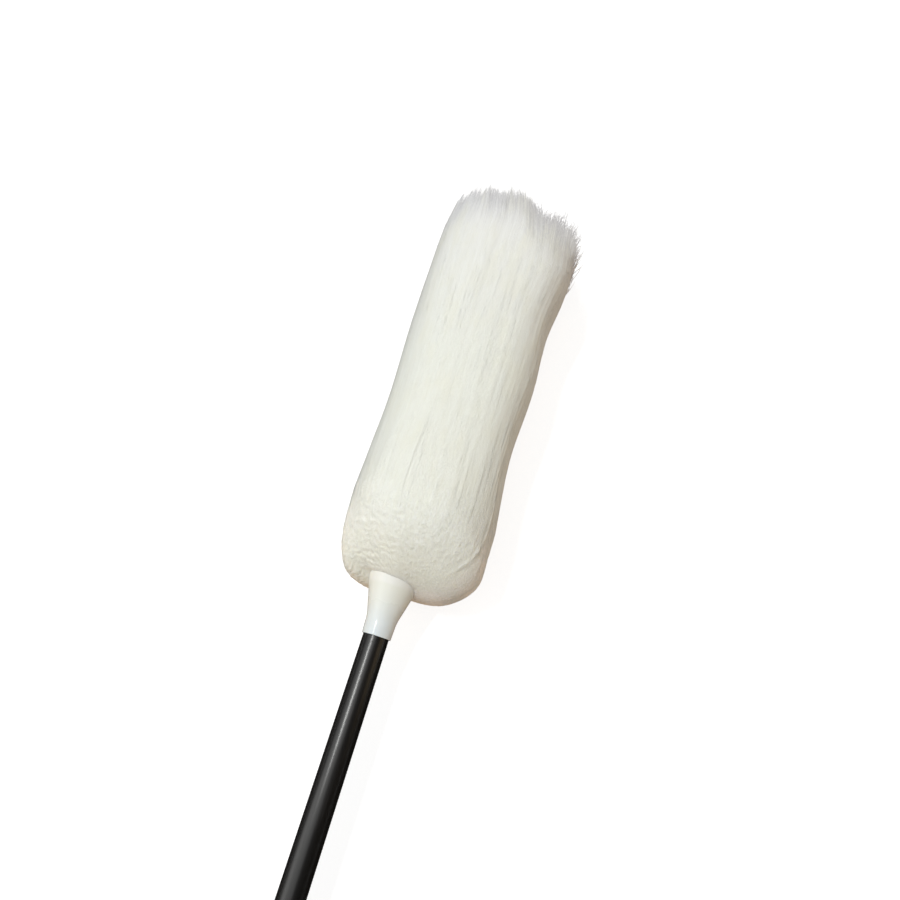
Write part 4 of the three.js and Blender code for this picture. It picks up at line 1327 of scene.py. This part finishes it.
# %% Hang cap
TAB_LENGTH = 24
TAB_HALF = 13
TAB_THICKNESS = 7
TAB_ROOT = 2  # how far the tab runs into the flange
TAB_EDGE = 0.9
EDGE_BAND = 6  # width of the band that carries the rounding of an edge
HOLE = 5
CAP_FLANGE = 5
CAP_EDGE = 1.2
PLUG = 11.4
PLUG_BORE = 9.2
low, high, _, _ = span("hang_cap")
face = low + TAB_LENGTH
shoulder = face + CAP_FLANGE
corners = [
    (face, 0, 0), (face, grip_radius, CAP_EDGE), (shoulder, grip_radius, 0.3), (shoulder, PLUG, 0.2),
    (high, PLUG, 1.2), (high, PLUG_BORE, 0.2), (shoulder, PLUG_BORE, 0), (shoulder, 0, 0),
]
hang_cap = turned("hang_cap_moulded", rounded(corners), black_moulding)

turn = turns(TURNED_SIDES)
ahead, across = np.maximum(np.cos(turn), 1e-6), np.maximum(np.abs(np.sin(turn)), 1e-6)
square = np.minimum(TAB_HALF / across, (TAB_LENGTH + TAB_ROOT - TAB_HALF) / ahead)
edge = np.where(np.cos(turn) > 0, square, TAB_HALF)
half = TAB_THICKNESS / 2
corners = ((-half, 0), (-half, EDGE_BAND), (half, EDGE_BAND), (half, 0))
section = rounded([(*corner, TAB_EDGE) for corner in corners])
level, band = section[:, :1], section[:, 1:]
reach = np.where(band < EDGE_BAND / 2, HOLE + band, edge + band - EDGE_BAND)
tab_rows = place(low + TAB_HALF + reach * np.cos(turn), reach * np.sin(turn), level)
tab = closed_shell("hang_tab", tab_rows, black_moulding)
join = hang_cap.modifiers.new("tab", "BOOLEAN")
join.operation = "UNION"
join.solver = "EXACT"
join.object = tab
depsgraph = bpy.context.evaluated_depsgraph_get()
joined = bpy.data.meshes.new_from_object(hang_cap.evaluated_get(depsgraph))
hang_cap.modifiers.clear()
hang_cap.data = joined
joined.set_sharp_from_angle(angle=SMOOTH_UNDER)
bpy.data.objects.remove(tab)
print("hang cap:", len(joined.polygons), "faces")

# %% [markdown]
# ## Pieces that stay as the CAD made them
# The rod, the strip of hide, the bush, the clamp and the small fixings are plain shapes inside the
# duster. They could be drawn again, but the CAD already has them right, so they only get finishes of
# their own.

# %% Finishes on the CAD pieces
INNER_FINISHES = (
    (uncoloured_moulding, ("guide_sleeve", "clamp_ring", "rod_bush", "tip_cap")),
    (black_moulding, ("tube_plug",)),
    (zinc_plated_steel, ("snap_ring", "rod_pin", "skin_tack_lower", "skin_tack_upper")),
    (bare_timber, ("core_rod",)),
    (tanned_hide, ("skin_strip",)),
)
for finish, nodes in INNER_FINISHES:
    for node in nodes:
        for slot in frame["nodes"][node].material_slots:
            slot.material = finish
    print(finish.name, "on", *nodes)

# %% [markdown]
# ## Bodies of the new pieces
# Every new piece rides on the body whose CAD node it stands for, and that node is hidden, so the slide,
# the turn of the pole and the nut still move everything that they should.

# %% Bodies and replaced nodes
for piece in (fleece_form, *wool_pieces):
    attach(piece, "sliding_pole")
    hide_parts("wool_fleece")

HANDLE_PIECES = (
    (inner_tube, "sliding_pole", "coated_tube", ["inner_tube"]),
    (ferrule, "sliding_pole", "white_plastic", ["ferrule"]),
    (outer_tube, "handle", "coated_tube", ["outer_tube"]),
    (collar, "handle", "black_plastic", ["thread_body"]),
    (rivets, "handle", "steel", ["body_rivet_left", "body_rivet_right"]),
    (grip, "handle", "grip_rubber", ["grip_sleeve"]),
    (hang_cap, "handle", "black_plastic", ["hang_cap"]),
    (nut, "nut", "black_plastic", ["lock_nut"]),
)
for piece, body, slot, nodes in HANDLE_PIECES:
    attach(piece, body)
    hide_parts(*nodes)
print(len(wool_pieces) + 1, "pieces of wool and", len(HANDLE_PIECES), "of the pole")
